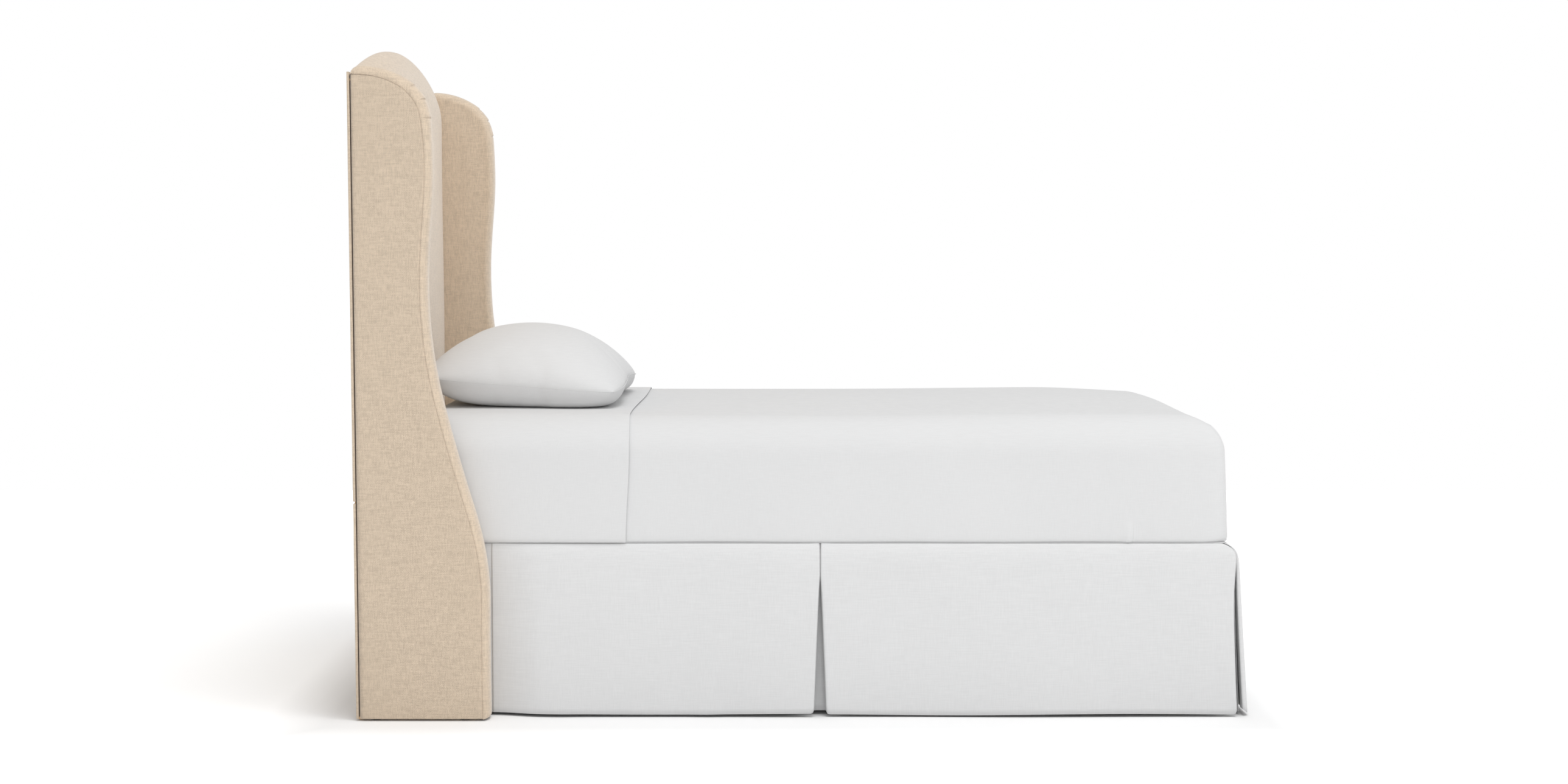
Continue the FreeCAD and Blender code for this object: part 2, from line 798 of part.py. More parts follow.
top = size("skirt_top")
hem = size("skirt_hem")
mid = size("pleat_top")
start = size("skirt_start")
pleat = size("pleat_x")
gap = size("pleat_open")
seam = size("skirt_gap")
cloth_thick = size("skirt_cloth")
end = size("side_panel_end")
end_hem = size("side_panel_end_hem")
insert_top = top - cloth_thick
insert_low = pleat - size("pleat_wide") / 2
insert_high = pleat + size("pleat_wide") / 2
head_panel = ((start, top), (pleat - seam, top), (pleat - seam, mid), (pleat - gap, hem), (start, hem))
foot_panel = ((pleat + seam, top), (end, top), (end_hem, hem), (pleat + gap, hem), (pleat + seam, mid))
insert = ((insert_low, insert_top), (insert_high, insert_top), (insert_high, hem), (insert_low, hem))
for side, sign in SIDES:
    cloths = (
        ("skirt_side_head_" + side, leaning(head_panel, "x", 0, cloth_thick)),
        ("skirt_side_foot_" + side, leaning(foot_panel, "x", 0, cloth_thick)),
        ("skirt_pleat_" + side, leaning(insert, "x", cloth_thick + seam, cloth_thick / 2)),
    )
    for label, shape in cloths:
        node(feature(label, on_side(shape, sign)), label)

foot_half = size("foot_panel_half")
foot_half_hem = size("foot_panel_half_hem")
foot_panel = ((-foot_half, top), (foot_half, top), (foot_half_hem, hem), (-foot_half_hem, hem))
node(feature("skirt_foot_panel", leaning(foot_panel, "y", 0, cloth_thick)), "skirt_foot_panel")

for side, sign in SIDES:
    x = "skirt_foot - corner_back"
    y = "%d * (skirt_half - corner_back" % sign
    leg = " - corner_leg"
    thin = " - skirt_cloth / 2"
    corners = (
        (x, y + ")"),
        (x + leg, y + ")"),
        (x + leg, y + thin + ")"),
        (x + thin, y + thin + ")"),
        (x + thin, y + leg + ")"),
        (x, y + leg + ")"),
    )
    corner = pad("skirt_corner_" + side, "XY_Plane", corners, "skirt_top - skirt_gap - skirt_hem")
    node(place(corner, "0", "0", "skirt_hem"), "skirt_corner_" + side)

# ---------------------------------------------------------------- pillow


def cushion(name, inset):
    """A pillow-shaped block, rounded on every edge, drawn in by an inset."""
    half = "(pillow_half - %s)" % inset
    end = "pillow_deep - " + inset
    corners = ((inset, "-" + half), (end, "-" + half), (end, half), (inset, half))
    body = pad(name, "XY_Plane", corners, "pillow_high - 2 * (%s)" % inset)
    round_edges(body, upright, "pillow_round - " + inset)
    height = body.Shape.BoundBox.ZMax
    round_edges(body, at_height(height), "pillow_round - " + inset)
    round_edges(body, at_height(0), "pillow_round - " + inset)
    return place(body, "pillow_x", "0", "%s + %s + pillow_gap + %s" % (mattress_top, layers[4], inset))


insert = cushion("pillow_insert", "pillow_case_thick")
node(insert, "pillow_insert")
node(cut("pillow_case", cushion("pillow_outer", "0 * pillow_case_thick"), insert), "pillow_case")

# ---------------------------------------------------------------- output

doc.recompute()
for item in doc.Objects:
    if "Invalid" in item.State or "Error" in item.State:
        raise RuntimeError("%s did not build: %s" % (item.Label, item.State))
for item in NODES:
    if item.Shape.isNull() or not item.Shape.isValid() or item.Shape.Volume <= 0:
        raise RuntimeError("%s has no valid shape" % item.Label)
    if not item.Shape.Solids:
        raise RuntimeError("%s holds no solid" % item.Label)

os.makedirs("parts", exist_ok=True)
for item in NODES:
    item.Shape.exportStep("parts/%s.step" % item.Label)
    box = item.Shape.BoundBox
    print("%-28s solids %2d  x %7.1f %7.1f  y %7.1f %7.1f  z %7.1f %7.1f" % (
        item.Label, len(item.Shape.Solids), box.XMin, box.XMax, box.YMin, box.YMax, box.ZMin, box.ZMax))
print(len(NODES), "nodes")
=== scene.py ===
import math

import bmesh
import bpy
import numpy as np
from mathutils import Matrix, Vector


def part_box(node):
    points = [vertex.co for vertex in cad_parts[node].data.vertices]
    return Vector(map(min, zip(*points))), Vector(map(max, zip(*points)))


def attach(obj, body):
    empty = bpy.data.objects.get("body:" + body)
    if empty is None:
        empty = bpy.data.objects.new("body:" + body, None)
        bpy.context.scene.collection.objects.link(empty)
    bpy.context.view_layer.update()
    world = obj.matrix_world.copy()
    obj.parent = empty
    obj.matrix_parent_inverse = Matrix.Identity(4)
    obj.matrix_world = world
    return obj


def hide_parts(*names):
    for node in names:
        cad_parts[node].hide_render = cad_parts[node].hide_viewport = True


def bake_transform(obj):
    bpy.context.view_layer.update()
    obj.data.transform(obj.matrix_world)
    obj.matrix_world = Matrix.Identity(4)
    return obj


# An upholstered wing bed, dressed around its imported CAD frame. Lengths are in
# metres in the frame's own axes: +X runs from the headboard to the foot, +Y to
# the left of someone lying in the bed, +Z up.

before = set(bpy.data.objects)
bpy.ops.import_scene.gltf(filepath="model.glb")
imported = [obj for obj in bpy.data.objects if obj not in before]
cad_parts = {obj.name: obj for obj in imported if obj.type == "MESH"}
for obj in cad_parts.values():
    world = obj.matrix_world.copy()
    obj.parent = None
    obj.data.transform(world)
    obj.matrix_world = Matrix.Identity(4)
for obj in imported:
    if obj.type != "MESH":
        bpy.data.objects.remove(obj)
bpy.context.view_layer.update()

SIDES = (("right", -1), ("left", 1))
MM = 0.001


def box(name):
    """A CAD node's lowest and highest corners as arrays."""
    low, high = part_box(name)
    return np.array(low), np.array(high)


# ------------------------------------------------------------------ materials


def new_material(name, roughness, metallic=0.0, sheen=0.0, sheen_roughness=0.5, specular=0.5):
    """A material with its constant values set on the shader, and the two to link into."""
    made = bpy.data.materials.new(name)
    made.use_nodes = True
    tree = made.node_tree
    shader = tree.nodes["Principled BSDF"]
    shader.inputs["Roughness"].default_value = roughness
    shader.inputs["Metallic"].default_value = metallic
    shader.inputs["Sheen Weight"].default_value = sheen
    shader.inputs["Sheen Roughness"].default_value = sheen_roughness
    shader.inputs["Specular IOR Level"].default_value = specular
    return made, tree, shader


def noise(tree, scale, stretch=(1, 1, 1), detail=2.0, soft=0.5):
    """A noise of about scale cycles per metre, stretched along the axes."""
    place = tree.nodes.new("ShaderNodeTexCoord")
    mapping = tree.nodes.new("ShaderNodeMapping")
    mapping.inputs["Scale"].default_value = stretch
    texture = tree.nodes.new("ShaderNodeTexNoise")
    texture.inputs["Scale"].default_value = scale
    texture.inputs["Detail"].default_value = detail
    texture.inputs["Roughness"].default_value = soft
    tree.links.new(place.outputs["Object"], mapping.inputs["Vector"])
    tree.links.new(mapping.outputs["Vector"], texture.inputs["Vector"])
    return texture.outputs["Fac"]


def math_node(tree, kind, first, second):
    """One sum, product or similar of two sockets or numbers."""
    node = tree.nodes.new("ShaderNodeMath")
    node.operation = kind
    for socket, value in zip(node.inputs, (first, second)):
        if isinstance(value, (int, float)):
            socket.default_value = value
        else:
            tree.links.new(value, socket)
    return node.outputs["Value"]


def weighted(tree, parts):
    """The sum of each (socket, weight), each socket first centred on zero."""
    total = 0.5
    for socket, weight in parts:
        centred = math_node(tree, "SUBTRACT", socket, 0.5)
        total = math_node(tree, "ADD", math_node(tree, "MULTIPLY", centred, weight), total)
    return total


def ramp(tree, value, stops):
    """A colour ramp through (position, linear colour) stops."""
    node = tree.nodes.new("ShaderNodeValToRGB")
    points = node.color_ramp.elements
    while len(points) < len(stops):
        points.new(0.5)
    for point, (position, colour) in zip(points, stops):
        point.position = position
        point.color = (*colour, 1.0)
    tree.links.new(value, node.inputs["Fac"])
    return node.outputs["Color"]


def bump(tree, shader, height, distance, strength):
    """Links a height to the shader's normal."""
    node = tree.nodes.new("ShaderNodeBump")
    node.inputs["Distance"].default_value = distance
    node.inputs["Strength"].default_value = strength
    tree.links.new(height, node.inputs["Height"])
    tree.links.new(node.outputs["Normal"], shader.inputs["Normal"])


def shade(colour, factor):
    """A colour made lighter or darker."""
    return tuple(min(1.0, channel * factor) for channel in colour)


def paint(tree, shader, value, shades):
    """Colours the shader by a value through a ramp."""
    tree.links.new(ramp(tree, value, shades), shader.inputs["Base Color"])


def axes_of(tree):
    """The object's own X, Y and Z as sockets."""
    place = tree.nodes.new("ShaderNodeTexCoord")
    split = tree.nodes.new("ShaderNodeSeparateXYZ")
    tree.links.new(place.outputs["Object"], split.inputs["Vector"])
    return split.outputs


def thread_wave(tree, axes, spacing, wander):
    """A wave from -1 to 1 across threads side by side along the sum of axes, a little uneven."""
    place = axes_of(tree)
    across = 0.0
    for axis in axes:
        across = math_node(tree, "ADD", place[axis], across)
    phase = math_node(tree, "MULTIPLY", across, 2 * math.pi / spacing)
    drift = math_node(tree, "MULTIPLY", noise(tree, 0.16 / spacing, detail=1.0), wander)
    return math_node(tree, "SINE", math_node(tree, "ADD", phase, drift), 0.0)


def woven(name, colour, contrast, thread, sheen, depth):
    """A plain weave: upright and level threads, uneven in width and shade.

    thread is the distance from one thread to the next.
    """
    made, tree, shader = new_material(name, 0.9, sheen=sheen, sheen_roughness=0.45, specular=0.25)
    fine = 0.75 / thread
    long = 0.10 / thread
    upright = thread_wave(tree, "XY", 2 * thread, 9.0)
    level = thread_wave(tree, "Z", 2 * thread, 9.0)
    crossing = math_node(tree, "MULTIPLY", math_node(tree, "MULTIPLY", upright, level), 0.5)
    crossing = math_node(tree, "ADD", crossing, 0.5)
    warp = noise(tree, 1.0, (fine, fine, long), 2.5, 0.6)
    weft = noise(tree, 1.0, (long, long, fine), 2.5, 0.6)
    streak = noise(tree, 1.0, (0.3 * long, 0.3 * long, fine), 1.0, 0.5)
    fleck = noise(tree, 1.2 * fine, detail=3.0, soft=0.7)
    cloud = noise(tree, 3.0, detail=2.0)
    parts = ((crossing, 0.6), (warp, 1.3), (weft, 1.0), (streak, 0.3), (fleck, 0.8), (cloud, 0.1))
    cloth = weighted(tree, parts)
    dark = shade(colour, 1.0 - contrast)
    light = shade(colour, 1.0 + contrast)
    paint(tree, shader, cloth, ((0.12, shade(dark, 0.9)), (0.38, dark), (0.5, colour),
                                (0.62, light), (0.9, shade(light, 1.05))))
    bump(tree, shader, cloth, depth, 0.6)
    return made


def smooth_cotton(name, colour, contrast, thread, slub, depth):
    """A fine cotton with a soft face: faint threads both ways and slow cloudiness."""
    made, tree, shader = new_material(name, 0.82, sheen=0.12, sheen_roughness=0.5, specular=0.3)
    fine = 1.0 / thread
    long = 1.0 / slub
    warp = noise(tree, 1.0, (fine, fine, long), 2.0, 0.5)
    weft = noise(tree, 1.0, (long, long, fine), 2.0, 0.5)
    cloud = noise(tree, 4.0, detail=3.0)
    cloth = weighted(tree, ((warp, 1.0), (weft, 1.2), (cloud, 0.4)))
    dark = shade(colour, 1.0 - contrast)
    light = shade(colour, 1.0 + contrast)
    paint(tree, shader, cloth, ((0.2, dark), (0.5, colour), (0.8, light)))
    bump(tree, shader, cloth, depth, 0.5)
    return made


def raw_wood(name, colour):
    """Sawn softwood: long grain with growth rings and pores."""
    made, tree, shader = new_material(name, 0.7, specular=0.3)
    grain = noise(tree, 1.0, (160, 12, 160), 4.0, 0.6)
    rings = noise(tree, 1.0, (30, 2, 30), 2.0, 0.5)
    wood = weighted(tree, ((grain, 0.9), (rings, 1.2)))
    paint(tree, shader, wood, ((0.25, shade(colour, 0.62)), (0.5, colour), (0.8, shade(colour, 1.25))))
    bump(tree, shader, wood, 0.4 * MM, 0.5)
    return made


def coated_metal(name, colour, grit, roughness, metallic):
    """Painted or plated metal with a slightly uneven skin."""
    made, tree, shader = new_material(name, roughness, metallic=metallic)
    skin = noise(tree, grit, detail=4.0, soft=0.6)
    marks = noise(tree, 14.0, detail=5.0, soft=0.65)
    worn = weighted(tree, ((skin, 0.5), (marks, 0.9)))
    paint(tree, shader, worn, ((0.3, shade(colour, 0.8)), (0.6, colour), (0.85, shade(colour, 1.35))))
    bump(tree, shader, skin, 0.08 * MM, 0.4)
    return made


THREAD = 1.9 * MM
LINEN = (0.624, 0.511, 0.392)
WHITE = (0.662, 0.664, 0.666)

# The linen is set a little light and its copy for the wings' outer side panels a little dark. This is
# painted light and painted shade, which even out the near wing's outer side against the far wing's
# inner face, which lies in deeper shade.
linen = woven("linen_weave", LINEN, 0.075, THREAD, 0.45, 0.5 * MM)
shaded_side_linen = woven("shaded_side_linen", shade(LINEN, 0.93), 0.075, THREAD, 0.45, 0.5 * MM)
back_cloth = woven("back_linen", shade(LINEN, 0.92), 0.075, THREAD, 0.3, 0.5 * MM)
cotton = smooth_cotton("bed_cotton", WHITE, 0.022, 1.1 * MM, 26 * MM, 0.10 * MM)
skirt_cotton = smooth_cotton("skirt_cotton", WHITE, 0.035, 1.5 * MM, 40 * MM, 0.16 * MM)
ticking = woven("ticking_weave", (0.66, 0.65, 0.62), 0.06, 1.2 * MM, 0.1, 0.2 * MM)
wood = raw_wood("raw_softwood", (0.50, 0.34, 0.19))
steel = coated_metal("brown_steel", (0.030, 0.024, 0.020), 900.0, 0.42, 0.0)
zinc = coated_metal("zinc_plate", (0.58, 0.58, 0.60), 1500.0, 0.32, 1.0)
plastic = coated_metal("glide_plastic", (0.018, 0.018, 0.018), 1200.0, 0.55, 0.0)

# ------------------------------------------------------------------ mesh tools


def grid_faces(rows, cols):
    """The quads of a grid of rows by cols points."""
    index = np.arange(rows * cols).reshape(rows, cols)
    corners = (index[:-1, :-1], index[:-1, 1:], index[1:, 1:], index[1:, :-1])
    return np.stack(corners, axis=-1).reshape(-1, 4)


def add(name, data):
    """A new object in the scene."""
    obj = bpy.data.objects.new(name, data)
    bpy.context.scene.collection.objects.link(obj)
    return obj


def make(name, points, faces, finish, inside=None):
    """A smooth-shaded mesh object, its faces turned away from a point inside it."""
    mesh = bpy.data.meshes.new(name)
    corners = np.asarray(points, float).reshape(-1, 3).tolist()
    mesh.from_pydata(corners, [], [list(face) for face in faces])
    obj = add(name, mesh)
    weld = bmesh.new()
    weld.from_mesh(mesh)
    bmesh.ops.remove_doubles(weld, verts=weld.verts, dist=0.01 * MM)
    bmesh.ops.recalc_face_normals(weld, faces=weld.faces)
    if inside is not None:
        face = max(weld.faces, key=lambda f: f.calc_area())
        away = face.calc_center_median() - type(face.normal)(inside)
        if face.normal.dot(away) < 0:
            bmesh.ops.reverse_faces(weld, faces=weld.faces)
    weld.to_mesh(mesh)
    weld.free()
    mesh.shade_smooth()
    mesh.materials.append(finish)
    return obj


def points_of(obj):
    """A mesh's vertices as an array."""
    points = np.empty(len(obj.data.vertices) * 3)
    obj.data.vertices.foreach_get("co", points)
    return points.reshape(-1, 3)


def finished_mesh(obj):
    """A new mesh of an object as it stands, modifiers and all."""
    bpy.context.view_layer.update()
    graph = bpy.context.evaluated_depsgraph_get()
    return bpy.data.meshes.new_from_object(obj.evaluated_get(graph))


def settle(obj):
    """Applies an object's modifiers to its mesh."""
    mesh = finished_mesh(obj)
    obj.modifiers.clear()
    old = obj.data
    obj.data = mesh
    bpy.data.meshes.remove(old)
    mesh.shade_smooth()
    return obj


def thicken(obj, thick):
    """Gives a surface a thickness on its inner side."""
    solid = obj.modifiers.new("thick", "SOLIDIFY")
    solid.thickness = thick
    solid.offset = -1
    return settle(obj)


def cloth_grid(name, points, finish, thick, inside=None):
    """A grid of points made into a cloth with a thickness."""
    return thicken(make(name, points, grid_faces(*points.shape[:2]), finish, inside), thick)


def dress(obj, body, slot, *nodes):
    """Ties a piece to its body and hides the CAD nodes it stands for; its material slot is not used.
    """
    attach(obj, body)
    if nodes:
        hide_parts(*nodes)
    return obj


def smooth_curve(points):
    """A natural cubic through points: returns its length and a function of distance."""
    points = np.asarray(points, float)
    steps = np.linalg.norm(np.diff(points, axis=0), axis=1)
    along = np.concatenate([[0], np.cumsum(steps)])
    count = len(points)
    system = np.eye(count)
    right = np.zeros_like(points)
    for i in range(1, count - 1):
        before, after = steps[i - 1], steps[i]
        system[i, i - 1:i + 2] = before, 2 * (before + after), after
        slope_after = (points[i + 1] - points[i]) / after
        slope_before = (points[i] - points[i - 1]) / before
        right[i] = 6 * (slope_after - slope_before)
    bend = np.linalg.solve(system, right)

    def at(distance):
        distance = np.atleast_1d(distance)
        i = np.clip(np.searchsorted(along, distance, side="right") - 1, 0, count - 2)
        gap = steps[i][:, None]
        near = (distance - along[i])[:, None]
        far = gap - near
        flat = points[i] * far / gap + points[i + 1] * near / gap
        curve = bend[i] * (far ** 3 / gap - far * gap)
        curve = curve + bend[i + 1] * (near ** 3 / gap - near * gap)
        return flat + curve / 6

    return along[-1], at


def ease(value, start, end):
    """0 before start, 1 after end, and smooth between them."""
    t = np.clip((np.asarray(value, float) - start) / (end - start), 0, 1)
    return t * t * (3 - 2 * t)


def hump(value, centre, width):
    """A smooth bump of height 1 about centre."""
    return np.exp(-((np.asarray(value, float) - centre) / width) ** 2)


def quarter(depth, radius):
    """How far a rounded edge draws in at a depth below its start: radius at 0, 0 at radius."""
    rest = np.clip((radius - depth) / radius, 0, 1)
    return radius * (1 - np.sqrt(1 - rest ** 2))


# ------------------------------------------------------------------ wings

wing_low, wing_high = box("wing_outer_panel_right")
lining_low, lining_high = box("wing_inner_panel_right")
BACK_X = wing_low[0]
WING_OUT = -wing_low[1]
WING_IN = -lining_high[1]


def wing_seam():
    """The wing's outer seam in side view, from the floor at its front to the back of its top."""
    corners = [v.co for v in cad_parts["wing_outer_panel_right"].data.vertices]
    rim = {(round(c.x, 5), round(c.z, 5)) for c in corners if c.x > BACK_X + MM}
    rim.add((BACK_X, max(c.z for c in corners if c.x < BACK_X + MM)))
    middle_z = 1.0
    ordered = sorted(rim, key=lambda p: math.atan2(p[1] - middle_z, p[0] - BACK_X))
    spaced = [ordered[0]]
    for point in ordered[1:]:
        if math.dist(point, spaced[-1]) > 24 * MM:
            spaced.append(point)
    spaced[-1] = ordered[-1]
    return smooth_curve(spaced)


UPHOLSTERY_THICK = 2.0 * MM
SEAM_GROOVE = 1.5 * MM
# The wings' covers stop this far in front of the CAD model's back plane.
BACK_GAP = 5.3 * MM
SEAM_LENGTH, seam_at = wing_seam()
SEAM_LENGTH -= BACK_GAP
BAND_CROWN = 17 * MM
SHOULDER_CROWN = 23 * MM

# Small tucks taken across the band where it turns the shoulder, as (x from the
# headboard's back, height) on the seam.
TUCKS = ((0.130, 1.442), (0.147, 1.415), (0.160, 1.381))


def seam_stations():
    """Distances along the seam, closer together at the tucks and at both ends."""
    rough = np.linspace(0, SEAM_LENGTH, 2000)
    line = seam_at(rough)
    density = np.full(len(rough), 1 / (5 * MM))
    tucks = []
    for x, z in TUCKS:
        spot = rough[np.argmin(np.hypot(line[:, 0] - BACK_X - x, line[:, 1] - z))]
        tucks.append(spot)
        density += hump(rough, spot, 7 * MM) / (0.9 * MM)
    for end in (0, SEAM_LENGTH):
        density += hump(rough, end, 10 * MM) / (1.2 * MM)
    total = np.concatenate([[0], np.cumsum((density[1:] + density[:-1]) / 2 * np.diff(rough))])
    count = int(total[-1])
    return np.interp(np.linspace(0, total[-1], count), total, rough), tucks


stations, tuck_spots = seam_stations()
seam_line = seam_at(stations)
ahead = seam_at(np.clip(stations + MM, 0, SEAM_LENGTH))
ahead -= seam_at(np.clip(stations - MM, 0, SEAM_LENGTH))
ahead /= np.linalg.norm(ahead, axis=1)[:, None]
seam_normal = np.stack([ahead[:, 1], -ahead[:, 0]], axis=1)


def seam_distance(points):
    """How far each (x, z) point lies from the seam line."""
    line = seam_at(np.linspace(0, SEAM_LENGTH, 500))
    found = [np.hypot(line[:, 0] - x, line[:, 1] - z).min() for x, z in points.reshape(-1, 2)]
    return np.array(found).reshape(points.shape[:-1])


def rows_to_seam(start_x, count, power):
    """Level rows of (x, z) points from start_x to the seam, closer together near it."""
    share = 1 - (1 - np.linspace(0, 1, count)) ** power
    reach = seam_line[:, 0] - start_x
    x = start_x + share[None, :] * np.maximum(reach, 0.2 * MM)[:, None]
    z = np.repeat(seam_line[:, 1][:, None], count, axis=1)
    return np.stack([x, z], axis=-1)


def soft_wave(x, z, amount, size):
    """A slow, shallow unevenness of padded cloth."""
    wave = np.sin(x / size * 5.1 + 0.7) * np.sin(z / size * 3.3 + 0.4)
    wave = wave + 0.6 * np.sin(x / size * 2.3 + z / size * 4.1 + 1.9)
    return amount * wave / 1.6


def wing_side_points():
    """The right wing's outer side panel, drawn in at its seam and rounded at its back edge."""
    flat = rows_to_seam(BACK_X + BACK_GAP, 56, 2.2)
    gap = seam_distance(flat)
    depth = SEAM_GROOVE * np.exp(-(gap / (1.5 * MM)) ** 1.5)
    depth = depth + 1.2 * MM * np.exp(-gap / (14 * MM))
    depth = depth + quarter(flat[..., 1] - wing_low[2], 4 * MM)
    depth = depth + quarter(flat[..., 0] - BACK_X - BACK_GAP, 3 * MM)
    depth = depth + soft_wave(flat[..., 0], flat[..., 1], 0.5 * MM, 0.3) * ease(gap, 0, 0.05)
    y = -WING_OUT + depth
    return np.stack([flat[..., 0], y, flat[..., 1]], axis=-1)


def band_crown(distance):
    """How far the padded band stands out from the seam line, along the seam."""
    from_back = SEAM_LENGTH - distance
    shoulder = ease(from_back, 0.30, 0.12)
    crown = BAND_CROWN + (SHOULDER_CROWN - BAND_CROWN) * shoulder
    end = 26 * MM
    back = np.sqrt(1 - (1 - np.clip(from_back / end, 0, 1)) ** 2)
    foot = 9 * MM
    front = np.sqrt(1 - (1 - np.clip(distance / foot, 0, 1)) ** 2)
    return crown * (0.32 + 0.68 * back) * (0.45 + 0.55 * front)


def tuck_relief(distance, across):
    """The small stepped folds over the shoulder: across runs from 0 at the outer seam to 1."""
    relief = np.zeros(np.broadcast(distance, across).shape)
    for spot in tuck_spots:
        behind = distance - spot
        swell = np.where(behind > 0, np.exp(-np.abs(behind) / (11 * MM)), 0.0)
        fold = 1.9 * MM * swell - 2.6 * MM * hump(behind, -0.4 * MM, 1.6 * MM)
        relief = relief + fold * ease(across, 0.85, 0.55)
    return relief


def wing_wrap_points():
    """The right wing's inner face, carried over the padded band to the outer seam."""
    face_columns = 30
    inner = rows_to_seam(lining_low[0], face_columns, 1.8)
    gap = seam_distance(inner)
    swell = 2.5 * MM * ease(gap, 0, 0.06)
    swell = swell + soft_wave(inner[..., 0], inner[..., 1], 0.7 * MM, 0.25) * ease(gap, 0, 0.05)
    face = np.stack([inner[..., 0], -WING_IN + swell, inner[..., 1]], axis=-1)

    turn = np.linspace(0, math.pi, 34)[1:]
    square = 2 / 2.5
    level = -np.sign(np.cos(turn)) * np.abs(np.cos(turn)) ** square
    rise = np.sin(turn).clip(0) ** square
    outer = WING_OUT - 0.6 * MM
    middle = (WING_IN + outer) / 2
    half = (outer - WING_IN) / 2
    across = (1 - level) / 2
    relief = tuck_relief(stations[:, None], across[None, :])
    out = band_crown(stations)[:, None] * rise[None, :] + relief * rise[None, :]
    y = -(middle + half * level)[None, :] + np.zeros_like(out)
    near_seam = (out / (1.8 * MM)).clip(0, 9)
    y = y + (turn > math.pi / 2)[None, :] * SEAM_GROOVE * np.exp(-near_seam ** 1.5)
    x = seam_line[:, 0][:, None] + seam_normal[:, 0][:, None] * out
    z = seam_line[:, 1][:, None] + seam_normal[:, 1][:, None] * out
    x = np.maximum(x, BACK_X + BACK_GAP)
    z = np.maximum(z, wing_low[2])
    band = np.stack([x, y, z], axis=-1)
    wrap = np.concatenate([face, band], axis=1)
    # The top of its back edge is closed by turning the cloth down behind.
    turned = [wrap]
    for inset, depth in ((0.6, 1.0), (1.0, 3.0), (1.0, 24.0)):
        row = wrap[-1].copy()
        cap = row[face_columns:]
        cap[:, 0] -= inset * MM
        lowered = np.minimum(cap[:, 2] - 0.3 * depth * MM, seam_line[-1, 1] + (24 - depth) * MM)
        cap[:, 2] = np.maximum(lowered, seam_line[-1, 1] - 0.4 * MM)
        turned.append(row[None])
    return np.concatenate(turned, axis=0)


side_points = wing_side_points()
wrap_points = wing_wrap_points()
for side, sign in SIDES:
    flip = np.array([1, -sign, 1])
    centre = (BACK_X + 0.1, sign * (WING_OUT + WING_IN) / 2, 0.7)
    # The outer side panels take the darker linen copy: painted shade.
    panel = cloth_grid("wing_side_" + side, side_points * flip, shaded_side_linen, UPHOLSTERY_THICK, centre)
    dress(panel, "bedstead", "upholstery", "wing_outer_panel_" + side)

    wrap = cloth_grid("wing_wrap_" + side, wrap_points * flip, linen, UPHOLSTERY_THICK, centre)
    hidden = [kind + side for kind in ("wing_inner_panel_", "wing_band_", "wing_foam_")]
    dress(wrap, "bedstead", "upholstery", *hidden)

# ------------------------------------------------------------------ headboard

cover_low, cover_high = box("headboard_cover")
FACE_HALF = cover_high[1]
CREST = cover_high[2]


def crest_height(y):
    """The height of the headboard's bowed top."""
    return CREST + 4 * MM - 0.071 * (np.abs(y) / FACE_HALF) ** 1.8


def face_depth(y):
    """How far the padded face stands in front of the headboard's back."""
    return (46 + 13 * (1 - (np.abs(y) / FACE_HALF) ** 3)) * MM


def headboard_points():
    """The centre pad: up its face, over its rolled top and down its back."""
    across = np.linspace(-1, 1, 141)
    y = FACE_HALF * np.sign(across) * (1 - (1 - np.abs(across)) ** 1.5)
    top = crest_height(y)[:, None]
    edge = quarter(FACE_HALF - np.abs(y), 7 * MM)
    deep = (face_depth(y) - edge)[:, None]
    roll_high = 90 * MM
    back_roll = 6 * MM

    low = cover_low[2]
    rise = np.linspace(0, 1, 70)[None, :]
    face_z = low + (top - roll_high - low) * rise
    hem = quarter(face_z - low, 14 * MM)
    face_x = deep - hem + soft_wave(y[:, None], face_z, 1.0 * MM, 0.4)

    turn = np.linspace(0, math.pi / 2, 30)[None, 1:]
    start_wave = soft_wave(y[:, None], face_z[:, -1:], 1.0 * MM, 0.4)
    roll_x = back_roll + (deep + start_wave - back_roll) * np.cos(turn) ** 0.92
    roll_z = top - roll_high + roll_high * np.sin(turn) ** 0.96

    turn = np.linspace(0, math.pi / 2, 8)[None, 1:]
    over_x = back_roll - (back_roll - 0.8 * MM) * np.sin(turn) + 0 * top
    over_z = top - back_roll * (1 - np.cos(turn))
    down_z = top - back_roll - np.array([[8, 30]]) * MM
    down_x = np.full_like(down_z, 0.8 * MM)

    x = BACK_X + np.concatenate([face_x, roll_x, over_x, down_x], axis=1)
    z = np.concatenate([face_z + 0 * top, roll_z, over_z, down_z], axis=1)
    return np.stack([x, np.repeat(y[:, None], x.shape[1], axis=1), z], axis=-1)


pad_middle = (BACK_X, 0, 0.8)
centre_pad = cloth_grid("headboard_face", headboard_points(), linen, UPHOLSTERY_THICK, pad_middle)
dress(centre_pad, "bedstead", "upholstery", "headboard_cover", "headboard_foam")


# The boards stand a little forward of their CAD place, and above SHOULDER_Z
# their ends rise towards the tops of the wings.
SHOULDER_Z = 1.40
BOARD_FORWARD = 3.5 * MM


